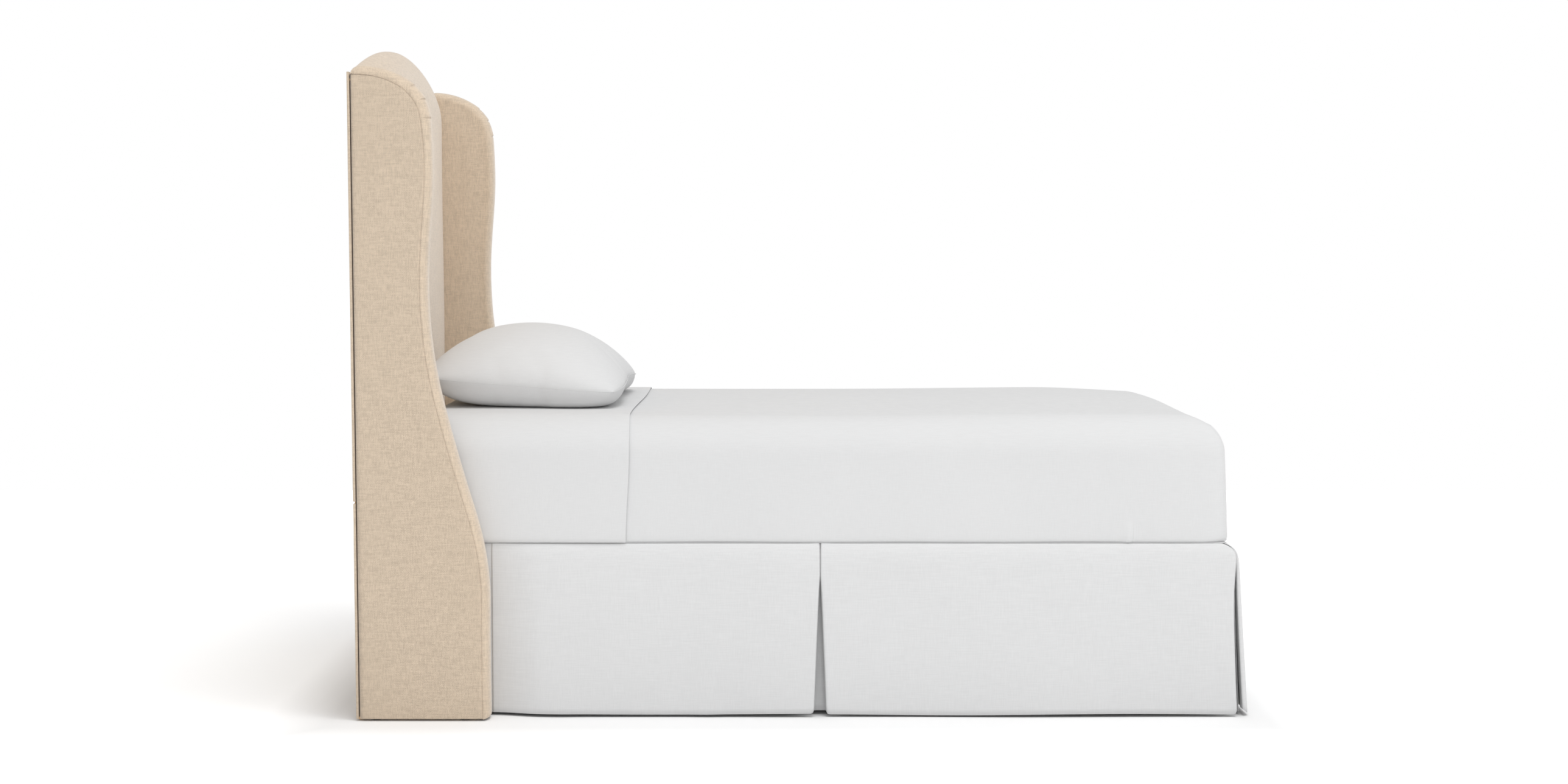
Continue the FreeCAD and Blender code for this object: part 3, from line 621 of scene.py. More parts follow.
def covered_board(name, node):
    """A thin board wrapped in cloth: the CAD board with its edges rounded over."""
    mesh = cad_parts[node].data.copy()
    obj = add(name, mesh)
    work = bmesh.new()
    work.from_mesh(mesh)
    for corner in work.verts:
        corner.co.x += BOARD_FORWARD
        if corner.co.z > SHOULDER_Z:
            corner.co.z += 8 * MM * float(ease(abs(corner.co.y), 0.40, 0.55))
    bmesh.ops.remove_doubles(work, verts=work.verts, dist=0.01 * MM)
    flat_angle = math.radians(3)
    bmesh.ops.dissolve_limit(work, angle_limit=flat_angle, verts=work.verts, edges=work.edges)
    sharp = [edge for edge in work.edges if edge.calc_face_angle(0) > math.radians(40)]
    bmesh.ops.bevel(work, geom=sharp, offset=2.2 * MM, segments=4, profile=0.5,
                    affect="EDGES", clamp_overlap=True)
    work.to_mesh(mesh)
    work.free()
    mesh.materials.clear()
    mesh.materials.append(back_cloth)
    mesh.shade_smooth()
    mesh.set_sharp_from_angle(angle=math.radians(50))
    return dress(obj, "bedstead", "dust_cloth", node)


for part in ("upper", "lower"):
    covered_board("back_cover_" + part, "back_panel_" + part)

# ------------------------------------------------------------------ bed shape

bed_low, bed_high = box("mattress_cover")
coverlet_low = box("coverlet")[0]
sheet_low = box("flat_sheet")[0]
BED_MIDDLE = (bed_low[0] + bed_high[0]) / 2
BED_HALF = (bed_high[:2] - bed_low[:2]) / 2
FOOT_X = BED_MIDDLE + BED_HALF[0]
HEAD_X = BED_MIDDLE - BED_HALF[0]
BED_TOP = bed_high[2]
HEM_Z = bed_low[2] + 0.5 * MM
DROP = BED_TOP - HEM_Z
ROLL = np.array([88, 74, 76]) * MM
SOFT_TOP = BED_TOP - 5 * MM
SQUARENESS = 5.0
CROWN = 4 * MM
SIDE_LEAN = 7 * MM
FOOT_LEAN = (8 * MM, 15 * MM)
HEM_TURN = 2.5 * MM


def bed_surface(x, y, z, grow):
    """Moves points of a sharp block, the mattress grown by grow, onto its soft shape.

    x runs over the bed's length, y and z over the block's faces.
    """
    reach = BED_HALF + grow
    top = SOFT_TOP + grow
    roll = ROLL + grow
    rel_x, rel_y = x - BED_MIDDLE, y
    out_x = np.clip((np.abs(rel_x) - (reach[0] - roll[0])) / roll[0], 0, None)
    out_y = np.clip((np.abs(rel_y) - (reach[1] - roll[1])) / roll[1], 0, None)
    z = HEM_Z + (z - HEM_Z) * (top - HEM_Z) / (BED_TOP + grow - HEM_Z)
    out_z = np.clip((z - (top - roll[2])) / roll[2], 0, None)
    plan = (out_x ** SQUARENESS + out_y ** SQUARENESS) ** (1 / SQUARENESS)
    size = np.sqrt(plan ** 2 + out_z ** 2)
    most = np.maximum(np.maximum(out_x, out_y), out_z)
    scale = np.where(size > 1e-9, most / np.maximum(size, 1e-9), 1.0)
    new_x = rel_x + np.sign(rel_x) * out_x * (scale - 1) * roll[0]
    new_y = rel_y + np.sign(rel_y) * out_y * (scale - 1) * roll[1]
    new_z = z + out_z * (scale - 1) * roll[2]

    # A crown along the middle, a slight rise towards the foot, a fall to the
    # foot's left corner and a little unevenness along the foot's rolled edge.
    upper = np.clip(out_z * scale, 0, 1)
    wide = 1 - (new_y / reach[1]) ** 2
    corner_fall = ease(rel_x, 0.60, 0.94) * (0.1 + 0.9 * ease(new_y, -0.5, 0.2))
    foot = ease(rel_x, 0.1, 0.70) - 2.4 * corner_fall
    new_z = new_z + upper * CROWN * (wide.clip(0, 1) + foot)
    edge = hump(rel_x, reach[0] - 0.05, 0.11)
    new_z = new_z + upper * edge * 2.6 * MM * np.sin(new_y / 0.118 + 0.6)
    new_z = new_z + upper * soft_wave(new_x, new_y, 1.1 * MM, 0.5)

    # The drops lean out a little towards the hem and round in at the hem.
    fall = 1 - ease(new_z, HEM_Z, BED_TOP - 0.06)
    down = np.clip((BED_TOP - new_z) / DROP, 0, 1)
    hem_turn = quarter(new_z - HEM_Z, HEM_TURN)
    side_lean = SIDE_LEAN * fall - hem_turn
    foot_lean = FOOT_LEAN[0] + FOOT_LEAN[1] * down - hem_turn
    wave = soft_wave(new_x * 1.3 + new_y * 0.4, new_z * 1.5, 1.5 * MM, 0.45)
    length = np.maximum(np.hypot(out_x * roll[1], out_y * roll[0]), 1e-9)
    wall = np.clip(plan, 0, 1) ** 4
    new_x = new_x + np.sign(rel_x) * wall * (out_x * roll[1] / length) * (foot_lean + wave * 0.4)
    new_y = new_y + np.sign(rel_y) * wall * (out_y * roll[0] / length) * (side_lean * 0.8 + wave)
    return np.stack([BED_MIDDLE + new_x, new_y, new_z], axis=-1)


def spread(low, high, count):
    """Stations from low to high, closer together towards both ends."""
    share = np.linspace(0, 1, count)
    even = low + (high - low) * share
    bias = (high - low) * 0.5 * (1 - np.cos(math.pi * share)) + low
    return 0.45 * even + 0.55 * bias


# How many points lie across the bed's top and up each drop.
ACROSS, UPRIGHT = 90, 34


def cross_section(grow):
    """(y, z) round the block from one hem over the top to the other."""
    half = BED_HALF[1] + grow
    top = BED_TOP + grow
    up = np.linspace(HEM_Z, top, UPRIGHT)
    over = spread(-half, half, ACROSS)
    y = np.concatenate([np.full(UPRIGHT, -half), over[1:-1], np.full(UPRIGHT, half)])
    z = np.concatenate([up, np.full(ACROSS - 2, top), up[::-1]])
    return y, z


def bed_sheet(name, x_stations, grow, finish, head=False):
    """A cloth over the mattress: its long part, its foot drop, and its head drop if asked for."""
    y, z = cross_section(grow)
    pieces = [np.broadcast_arrays(x_stations[:, None], y[None, :], z[None, :])]
    up = np.linspace(HEM_Z, BED_TOP + grow, UPRIGHT)[:, None]
    over = spread(-BED_HALF[1] - grow, BED_HALF[1] + grow, ACROSS)[None, :]
    pieces.append(np.broadcast_arrays(FOOT_X + grow, over, up))
    if head:
        pieces.append(np.broadcast_arrays(HEAD_X - grow, over, up))
    points, faces, start = [], [], 0
    for x, y, z in pieces:
        points.append(bed_surface(x, y, z, grow).reshape(-1, 3))
        faces.extend((grid_faces(*x.shape) + start).tolist())
        start += x.size
    return make(name, np.concatenate(points), faces, finish, (BED_MIDDLE, 0, bed_low[2]))


# ------------------------------------------------------------------ linen

# How far each cloth lies outside the mattress, and where the turned-down cuff ends.
FITTED_GROW = 1.5 * MM
COVERLET_GROW = 5.5 * MM
CUFF_GROW = 8.8 * MM
CUFF_END = sheet_low[0] + 0.4745

fitted_x = spread(HEAD_X - FITTED_GROW, FOOT_X + FITTED_GROW, 90)
fitted = bed_sheet("fitted_sheet_cloth", fitted_x, FITTED_GROW, cotton, head=True)
thicken(fitted, 0.8 * MM)
dress(fitted, "mattress", "linen", "fitted_sheet")

# A short upright tuck in each side drop, about a hand's span from the foot.
TUCK_X = FOOT_X - 0.206
coverlet_x = spread(coverlet_low[0], FOOT_X + COVERLET_GROW, 120)
coverlet_x = np.union1d(coverlet_x, np.linspace(TUCK_X - 24 * MM, TUCK_X + 16 * MM, 27))
coverlet = bed_sheet("coverlet_cloth", coverlet_x, COVERLET_GROW, cotton)
for vertex in coverlet.data.vertices:
    point = vertex.co
    if abs(point.y) > BED_HALF[1] - 5 * MM:
        low_share = float(ease(point.z, 0.47, 0.415))
        fold = 3.2 * MM * float(hump(point.x, TUCK_X - 9 * MM, 12 * MM))
        crease = -1.8 * MM * float(hump(point.x, TUCK_X + 4 * MM, 3.5 * MM))
        point.y += math.copysign((fold + crease) * low_share, point.y)
thicken(coverlet, 2.4 * MM)
dress(coverlet, "mattress", "linen", "coverlet")


def cuff_waver(y, z):
    """How far the cuff's edge strays from a straight line across the bed."""
    down = np.clip((BED_TOP - z) / DROP, 0, 1)
    return 3.5 * MM * np.sin(y / 0.13 + 0.8) - 6 * MM * down + 2 * MM * np.sin(down * 5)


def flat_sheet_points():
    """The top sheet: up the bed under the coverlet, folded back over it as a cuff."""
    under = 2.6 * MM
    fold_x = sheet_low[0]
    fold_radius = (CUFF_GROW - under) / 2
    below = np.linspace(FOOT_X + under, fold_x + fold_radius, 70)
    turn = np.linspace(math.pi / 2, 3 * math.pi / 2, 10)[1:-1]
    above = np.concatenate([np.linspace(fold_x + fold_radius, CUFF_END - 10 * MM, 60),
                            np.linspace(CUFF_END - 10 * MM, CUFF_END, 8)[1:]])
    x = np.concatenate([below, fold_x + fold_radius + fold_radius * np.cos(turn), above])
    grow = np.concatenate([np.full(len(below), under), under + fold_radius * (1 - np.sin(turn)),
                           np.full(len(above), CUFF_GROW)])
    over_cuff = np.concatenate([np.zeros(len(below) + len(turn)), np.ones(len(above))])
    rows = []
    for station, out, cuff in zip(x, grow, over_cuff):
        y, z = cross_section(out)
        end = CUFF_END + cuff_waver(y, z)
        run = (station - fold_x) / (CUFF_END - fold_x)
        along = np.where(cuff > 0, fold_x + run * (end - fold_x), station)
        curl = (CUFF_GROW - COVERLET_GROW - 1.2 * MM) * cuff
        curl = curl * float(ease(station, CUFF_END - 4 * MM, CUFF_END))
        rows.append(bed_surface(along, y, z, out - curl))
    return np.stack(rows)


flat_sheet = cloth_grid("flat_sheet_cloth", flat_sheet_points(), cotton, 1.1 * MM)
dress(flat_sheet, "mattress", "linen", "flat_sheet")

# ------------------------------------------------------------------ mattress and box spring


def tube(name, path, radius, finish):
    """A closed round cord of cloth along a ring of points."""
    curve = bpy.data.curves.new(name, "CURVE")
    curve.dimensions = "3D"
    curve.bevel_depth = radius
    curve.bevel_resolution = 3
    spline = curve.splines.new("POLY")
    spline.points.add(len(path) - 1)
    for point, place in zip(spline.points, path):
        point.co = (*place, 1)
    spline.use_cyclic_u = True
    holder = add(name, curve)
    mesh = finished_mesh(holder)
    bpy.data.objects.remove(holder)
    obj = add(name, mesh)
    mesh.materials.clear()
    mesh.materials.append(finish)
    mesh.shade_smooth()
    return obj


def soft_box(name, low, high, corner, edge, belly, finish):
    """A closed padded box: rounded corners and edges, sides slightly swollen."""
    count = 30
    share = np.linspace(-1, 1, count)
    share = np.sign(share) * (1 - (1 - np.abs(share)) ** 1.5)
    a, b = np.meshgrid(share, share, indexing="ij")
    one = np.ones_like(a)
    points = np.concatenate([np.stack(p, axis=-1).reshape(-1, 3) for p in (
        (a, b, one), (a, b, -one), (a, one, b), (a, -one, b), (one, a, b), (-one, a, b))])
    half = (high - low) / 2
    radius = np.array([corner, corner, edge])
    core = half - radius
    scaled = points * half
    over = np.clip((np.abs(scaled) - core) / radius, 0, None)
    plan = np.hypot(over[:, 0], over[:, 1])
    size = np.maximum(np.hypot(plan, over[:, 2]), 1e-9)
    scale = over.max(axis=1) / size
    moved = scaled + np.sign(scaled) * over * (scale - 1)[:, None] * radius
    swell = 1 - (moved[:, 2] / half[2]) ** 2
    wall = np.clip(plan, 0, 1)[:, None] * over[:, :2] / np.maximum(plan, 1e-9)[:, None]
    moved[:, :2] += np.sign(scaled[:, :2]) * wall * (belly * swell)[:, None]
    faces = np.concatenate([grid_faces(count, count) + i * count * count for i in range(6)])
    middle = (low + high) / 2
    return make(name, moved + middle, faces, finish, middle)


# A near-black cloth strip fills the gap behind each wing, between its cover and the back board. It is
# painted shade that stands in for the shadow in that gap.
gap_shade_finish = woven("painted_gap_shade", (0.048, 0.034, 0.026), 0.25, 0.6 * MM, 0.1, 0.1 * MM)
board_high = box("back_panel_upper")[1][0] + BOARD_FORWARD
for side, sign in SIDES:
    ends = sorted((sign * (WING_OUT - 44 * MM), sign * (WING_OUT - 3.6 * MM)))
    low = np.array([board_high + 0.2 * MM, ends[0], wing_low[2] + 6 * MM])
    high = np.array([BACK_X + BACK_GAP + 3 * MM, ends[1], wing_high[2] - 14 * MM])
    shade_piece = soft_box("wing_back_shadow_strip_" + side, low, high, 1.2 * MM, 1.2 * MM, 0, gap_shade_finish)
    dress(shade_piece, "bedstead", "dust_cloth")


def ring(low, high, corner, z, count=10):
    """The points of a rounded rectangle at one height."""
    points = []
    for quadrant, (sx, sy) in enumerate(((1, 1), (-1, 1), (-1, -1), (1, -1))):
        cx = (high[0] if sx > 0 else low[0]) - sx * corner
        cy = (high[1] if sy > 0 else low[1]) - sy * corner
        for step in range(count + 1):
            turn = math.pi / 2 * (quadrant + step / count)
            points.append((cx + corner * math.cos(turn), cy + corner * math.sin(turn), z))
    return points


pad_high = bed_high - [MM, MM, 13 * MM]
mattress = soft_box("mattress_pad", bed_low + MM, pad_high, 112 * MM, 98 * MM, 0, ticking)
dress(mattress, "mattress", "ticking", "mattress_cover", "mattress_core")

spring_low, spring_high = box("box_spring_cover")
SPRING_CORNER = 40 * MM
spring = soft_box("box_spring_ticking", spring_low, spring_high, SPRING_CORNER,
                  9 * MM, 1.5 * MM, ticking)
dress(spring, "box_spring", "ticking", "box_spring_cover", "box_spring_pad")
for name, height in (("low", spring_low[2] + 7 * MM), ("high", spring_high[2] - 7 * MM)):
    path = ring(spring_low, spring_high, SPRING_CORNER, height)
    cord = tube("box_spring_piping_" + name, path, 3 * MM, ticking)
    dress(cord, "box_spring", "ticking")

# ------------------------------------------------------------------ skirt

seam_low, seam_high = box("skirt_side_head_right")
foot_low = box("skirt_foot_panel")[0]
pleat_low, pleat_high = box("skirt_pleat_right")
deck_low, deck_high = box("skirt_deck")
SKIRT_TOP = seam_high[2]
SKIRT_HEM = seam_low[2] - 0.5 * MM
SKIRT_HALF = -seam_high[1] + 3 * MM
SKIRT_FOOT_X = foot_low[0] + 3 * MM
SKIRT_FALL = SKIRT_TOP - SKIRT_HEM
PLEAT_X = (pleat_low[0] + pleat_high[0]) / 2
foot_half = SKIRT_HALF - 3 * MM
# The inverted pleat is shut for this far below the seam, then each of its edges
# draws aside by this much at the hem. Folded edges turn back by FOLD_BACK.
PLEAT_SHUT = 76 * MM
PLEAT_OPEN = 13.2 * MM
FOLD_BACK = 24 * MM
SKIRT_THICK = 1.0 * MM
SKIRT_INSIDE = (BED_MIDDLE, 0, 0.25)

# How the drops stand out from the seam: shoulder, the fall it takes, and the
# further lean down to the hem.
SIDE_HANG = (12 * MM, 14 * MM, 14 * MM)
FOOT_HANG = (33 * MM, 12 * MM, 22 * MM)


def falls(count, power):
    """Distances below the seam down to the hem, as a column, closer together near the seam."""
    return (SKIRT_FALL * np.linspace(0, 1, count) ** power)[:, None]


def hang(fall, shape):
    """How far skirt cloth stands out from its seam after falling a distance."""
    shoulder, shoulder_fall, lean = shape
    return shoulder * (1 - np.exp(-fall / shoulder_fall)) + lean * fall / SKIRT_FALL


def gentle_folds(along, fall, seed):
    """The slow waves of a hanging cloth, growing towards its hem."""
    wave = 0.45 * np.sin(along / 0.093 + seed) + 0.55 * np.sin(along / 0.171 + 2.1 * seed + 0.5)
    fold = 0.8 * hump(along, -0.215, 0.032) + 0.9 * hump(along, -0.56, 0.04)
    return 3.2 * MM * (fall / SKIRT_FALL) ** 1.5 * (wave + fold * (fall / SKIRT_FALL))


def hem_rise(along, fall, seed):
    """The hem's small rise and fall."""
    wave = 1.2 * np.sin(along / 0.12 + seed) + 1.0 * np.sin(along / 0.31 + seed * 1.7)
    return (1.2 + wave) * MM * (fall / SKIRT_FALL) ** 2


def straight(top, hem):
    """An upright edge that runs evenly from its place at the seam to its place at the hem."""
    return lambda fall: top + (hem - top) * fall / SKIRT_FALL


def pleat_edge(side):
    """A folded edge of the inverted pleat: shut under the seam, then opening to the hem."""
    def line(fall):
        share = np.clip((fall - PLEAT_SHUT) / (SKIRT_FALL - PLEAT_SHUT), 0, 1)
        notch = 1.0 * MM * np.exp(-fall / (5 * MM))
        return PLEAT_X + side * (0.15 * MM + notch + PLEAT_OPEN * share ** 0.9)
    return line


def side_rim(fall):
    """The radius of a side drop's folded edges, sharp where the pleat is shut."""
    return (0.9 + 2.1 * ease(fall, PLEAT_SHUT - 20 * MM, PLEAT_SHUT + 40 * MM)) * MM


def foot_rim(fall):
    """The radius of the foot drop's folded edges, growing towards the hem."""
    return 3 * MM + 6 * MM * (1 - np.exp(-fall / (40 * MM))) + 4 * MM * fall / SKIRT_FALL


def corner_edge(fall):
    """The side drop's edge at the foot: shut against the foot drop's edge, then parting from it."""
    parting = 14 * MM * (1 - np.exp(-(fall - 24 * MM).clip(0) / (70 * MM))) - 1.2 * MM
    shoulder = 5 * MM * np.exp(-fall / (10 * MM))
    return SKIRT_FOOT_X + hang(fall, FOOT_HANG) - foot_rim(fall) - parting - shoulder


def tucked_in(along):
    """How far out of its full lean the side skirt hangs where it passes inside the wing."""
    return 0.16 + 0.84 * ease(along, seam_low[0] - 10 * MM, seam_low[0] + 110 * MM)


def skirt_drop(name, start, end, shape, place, seed, folded=(True, True), rim_at=side_rim):
    """One flat drop of the skirt between two upright edges, folded back where it says.

    place turns (along, out, height) into points.
    """
    fall = falls(50, 1.7)
    low_share = fall / SKIRT_FALL
    share = np.linspace(0, 1, 100)
    share = 0.55 * (0.5 - 0.5 * np.cos(math.pi * share)) + 0.45 * share
    first, last = start(fall), end(fall)
    along = first + (last - first) * share[None, :]
    out = hang(fall, shape) + gentle_folds(along, fall, seed)
    if not folded[0]:
        out = out * tucked_in(along)
    rim = rim_at(fall)
    if folded[0]:
        out = out - quarter(along - first, rim)
    if folded[1]:
        out = out - quarter(last - along, rim)
    # The hem's corners are rounded off where the edges fold back.
    corner = 9 * MM
    rounding = quarter(along - first, corner) * folded[0] + quarter(last - along, corner) * folded[1]
    height = SKIRT_TOP - fall + hem_rise(along, fall, seed) + rounding * low_share ** 10
    turn = np.linspace(0, 1, 9)[None, 1:]
    strips = [[along], [out], [height]]
    for which, edge, inward in ((0, first, 1), (1, last, -1)):
        if not folded[which]:
            continue
        behind = rim * np.minimum(1, 0.35 + fall / (30 * MM)) + 1.5 * MM * turn + 1 * MM
        back = (edge + inward * FOLD_BACK * turn,
                hang(fall, shape) + gentle_folds(edge, fall, seed) - behind,
                SKIRT_TOP - fall + hem_rise(edge, fall, seed) + corner * low_share ** 10 + 0 * turn)
        for strip, extra in zip(strips, back):
            if which == 0:
                strip.insert(0, extra[:, ::-1])
            else:
                strip.append(extra)
    along, out, height = (np.concatenate(strip, axis=1) for strip in strips)
    return cloth_grid(name, place(along, out, height), skirt_cotton, SKIRT_THICK, SKIRT_INSIDE)


def strip_curve(rows, between=6):
    """Rows of a few values each, with smooth steps put in between them (Catmull-Rom)."""
    before = 2 * rows[:, :1] - rows[:, 1:2]
    after = 2 * rows[:, -1:] - rows[:, -2:-1]
    padded = np.concatenate([before, rows, after], axis=1)
    steps = []
    for i in range(1, rows.shape[1]):
        a, b, c, d = (padded[:, k] for k in range(i - 1, i + 3))
        for t in np.linspace(0, 1, between, endpoint=False):
            curve = 2 * a - 5 * b + 4 * c - d + t * (3 * (b - c) + d - a)
            steps.append(b + 0.5 * t * (c - a + t * curve))
    steps.append(rows[:, -1])
    return np.stack(steps, axis=1)


def on_side(sign):
    """Places (along, out, height) on one side of the bed."""
    return lambda along, out, height: np.stack([along, sign * (SKIRT_HALF + out), height], axis=-1)


def on_foot(along, out, height):
    """Places (along, out, height) across the foot."""
    return np.stack([SKIRT_FOOT_X + out, along, height], axis=-1)


def hang_skirt(piece, body, outward, flat, *nodes):
    """Bakes a skirt piece's transform into its mesh and hides the CAD nodes it stands for."""
    start = outward(0, SKIRT_TOP)
    end = outward(18 * MM, SKIRT_TOP - 75 * MM)
    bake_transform(piece)
    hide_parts(*nodes)


for side, sign in SIDES:
    body = "skirt_side_" + side
    seed = 0.8 if side == "right" else 2.9

    def side_line(out, height, sign=sign):
        return (0, sign * (SKIRT_HALF + out), height)

    head_edge = straight(seam_low[0] - 8 * MM, seam_low[0] - 8.5 * MM)
    head_drop = skirt_drop("skirt_head_drop_" + side, head_edge, pleat_edge(-1), SIDE_HANG,
                           on_side(sign), seed, folded=(False, True))
    head_flat = (PLEAT_X - seam_low[0] + FOLD_BACK, SKIRT_FALL + 12 * MM)
    hang_skirt(head_drop, body, side_line, head_flat, "skirt_side_head_" + side)

    # The last of the side skirt, fixed behind the wing's front edge.
    fall = falls(30, 1.5)
    low_share = fall / SKIRT_FALL
    along = np.linspace(seam_low[0] - 90 * MM, seam_low[0] + 25 * MM, 40)[None, :] + 0 * fall
    out = hang(fall, SIDE_HANG) * tucked_in(along) - 1.15 * MM
    tail_points = on_side(sign)(along, out, SKIRT_TOP - fall + 2 * MM * low_share + 0 * along)
    tail = cloth_grid("skirt_tail_" + side, tail_points, skirt_cotton, SKIRT_THICK, SKIRT_INSIDE)
    dress(tail, "box_spring", "skirt")

    foot_drop = skirt_drop("skirt_foot_drop_" + side, pleat_edge(1), corner_edge, SIDE_HANG,
                           on_side(sign), seed + 1.3)
    foot_flat = (SKIRT_FOOT_X - PLEAT_X + 2 * FOLD_BACK, SKIRT_FALL + 12 * MM)
    hang_skirt(foot_drop, body, side_line, foot_flat, "skirt_side_foot_" + side)

    # The pleat's back: a strip behind the two folded edges, which hangs straight.
    pleat_width = pleat_high[0] - pleat_low[0]
    across = np.linspace(-1, 1, 24)[None, :] + 0 * fall
    along = PLEAT_X + across * pleat_width / 2
    out = -4.5 * MM - 0.5 * MM * across ** 2
    strip_points = on_side(sign)(along, out, SKIRT_TOP - fall + 4 * MM * low_share + 0 * across)
    pleat_back = cloth_grid("skirt_pleat_back_" + side, strip_points, skirt_cotton,
                            SKIRT_THICK, SKIRT_INSIDE)
    hang_skirt(pleat_back, body, side_line, (pleat_width, SKIRT_FALL), "skirt_pleat_" + side)

    # The corner's inner strip: from behind the side drop, into the gap between
    # the two drops and out again, to behind the foot drop.
    leg = 70 * MM
    edge_x = corner_edge(fall)
    behind_rim = 4 * MM + 4 * MM * np.exp(-fall / (20 * MM))
    rim_x = SKIRT_FOOT_X + hang(fall, FOOT_HANG) - foot_rim(fall) - behind_rim
    near_y = SKIRT_HALF - 6 * MM + 0 * fall
    deep_y = near_y - 26 * MM * (1 - np.exp(-fall / (30 * MM)))
    rim_y = foot_half - 2 * MM + 13 * MM * low_share
    route = ((edge_x - leg, near_y), (edge_x - 0.6 * leg, near_y), (edge_x - 14 * MM, near_y - 3 * MM),
             (edge_x - 4 * MM, (near_y + deep_y) / 2), (edge_x - 1 * MM, deep_y),
             ((edge_x + rim_x) / 2, 0.5 * (deep_y + rim_y)), (rim_x - 1 * MM, rim_y - 6 * MM),
             (rim_x, rim_y - 0.4 * leg), (rim_x, rim_y - leg))
    corner_x, corner_y = (strip_curve(np.concatenate(stops, axis=1)) for stops in zip(*route))
    corner_z = SKIRT_TOP - fall + 3 * MM * low_share + 0 * corner_x
    strip_points = np.stack([corner_x, sign * corner_y, corner_z], axis=-1)
    corner = cloth_grid("skirt_corner_strip_" + side, strip_points, skirt_cotton,
                        SKIRT_THICK, SKIRT_INSIDE)
    dress(corner, "box_spring", "skirt", "skirt_corner_" + side)

foot_edges = [straight(sign * foot_half, sign * (foot_half + 18 * MM)) for sign in (-1, 1)]
foot_drop = skirt_drop("skirt_foot_drop", *foot_edges, FOOT_HANG, on_foot, 1.9, rim_at=foot_rim)
foot_flat = (2 * foot_half + 2 * FOLD_BACK, SKIRT_FALL + 20 * MM)
hang_skirt(foot_drop, "skirt_foot", lambda out, height: (SKIRT_FOOT_X + out, 0, height),
           foot_flat, "skirt_foot_panel")

# The deck cloth that the drops are sewn to, flat between mattress and box spring.
deck_x = np.linspace(deck_low[0], SKIRT_FOOT_X, 60)[:, None]
deck_y = np.linspace(-SKIRT_HALF, SKIRT_HALF, 40)[None, :]
deck_z = deck_high[2] - 0.25 * MM + soft_wave(deck_x, deck_y, 0.15 * MM, 0.4)
deck_points = np.stack([deck_x + 0 * deck_y, deck_y + 0 * deck_x, deck_z], axis=-1)
deck = cloth_grid("skirt_deck_cloth", deck_points, skirt_cotton, 0.9 * MM, (BED_MIDDLE, 0, 0))
dress(deck, "box_spring", "skirt", "skirt_deck")

# ------------------------------------------------------------------ pillow

case_low = box("pillow_case")[0]
PILLOW_LENGTH, PILLOW_WIDTH = 0.508, 0.66
PILLOW_HALF = np.array([0.2475, 0.322])
PILLOW_MIDDLE = case_low[0] + 0.2385
PILLOW_REST = case_low[2] - 0.6 * MM
PILLOW_ROWS, PILLOW_COLS = 64, 82
PILLOW_SEAM = 0.797
PILLOW_UP, PILLOW_DOWN = 116 * MM, 80 * MM
FILL_FRAMES = 34


def pillow_grid():
    """Each point's place on the pillow, from -1 to 1 along and across, and its layer."""
    rows = np.linspace(-1, 1, PILLOW_ROWS)
    u, v = np.meshgrid(rows, np.linspace(-1, 1, PILLOW_COLS), indexing="ij")
    layers = [np.stack([u, v, side + 0 * u], axis=-1).reshape(-1, 3) for side in (1, -1)]
    return np.concatenate(layers)


def pillow_blank():
    """Two layers of cloth sewn round their edges, with a little fullness to start from."""
    u, v, layer = pillow_grid().T
    dome = (1 - u ** 4) * (1 - v ** 4)
    z = layer * 30 * MM * np.sqrt(dome) + 1.5 * MM * np.sin(7 * u + 3 * v) * dome
    points = np.stack([u * PILLOW_LENGTH / 2, v * PILLOW_WIDTH / 2, z], axis=-1)
    faces = grid_faces(PILLOW_ROWS, PILLOW_COLS)
    faces = np.concatenate([faces, faces + PILLOW_ROWS * PILLOW_COLS])
    return make("pillow", points, faces, cotton, (0, 0, 0))


def inflate(obj):
    """Fills the pillow by cloth simulation with inner pressure, and keeps the result."""
    scene = bpy.context.scene
    cloth = obj.modifiers.new("fill", "CLOTH")
    cloth.settings.quality = 7
    cloth.settings.mass = 0.25
    cloth.settings.tension_stiffness = 22
    cloth.settings.compression_stiffness = 14
    cloth.settings.shear_stiffness = 7
    cloth.settings.bending_stiffness = 0.9
    cloth.settings.air_damping = 3
    cloth.settings.use_pressure = True
    cloth.settings.uniform_pressure_force = 3.2
    cloth.settings.effector_weights.gravity = 0
    cloth.collision_settings.use_collision = False
    cloth.collision_settings.use_self_collision = False
    cloth.point_cache.frame_start = 1
    cloth.point_cache.frame_end = FILL_FRAMES
    for step in range(1, FILL_FRAMES + 1):
        scene.frame_set(step)
    settle(obj)
    scene.frame_set(1)


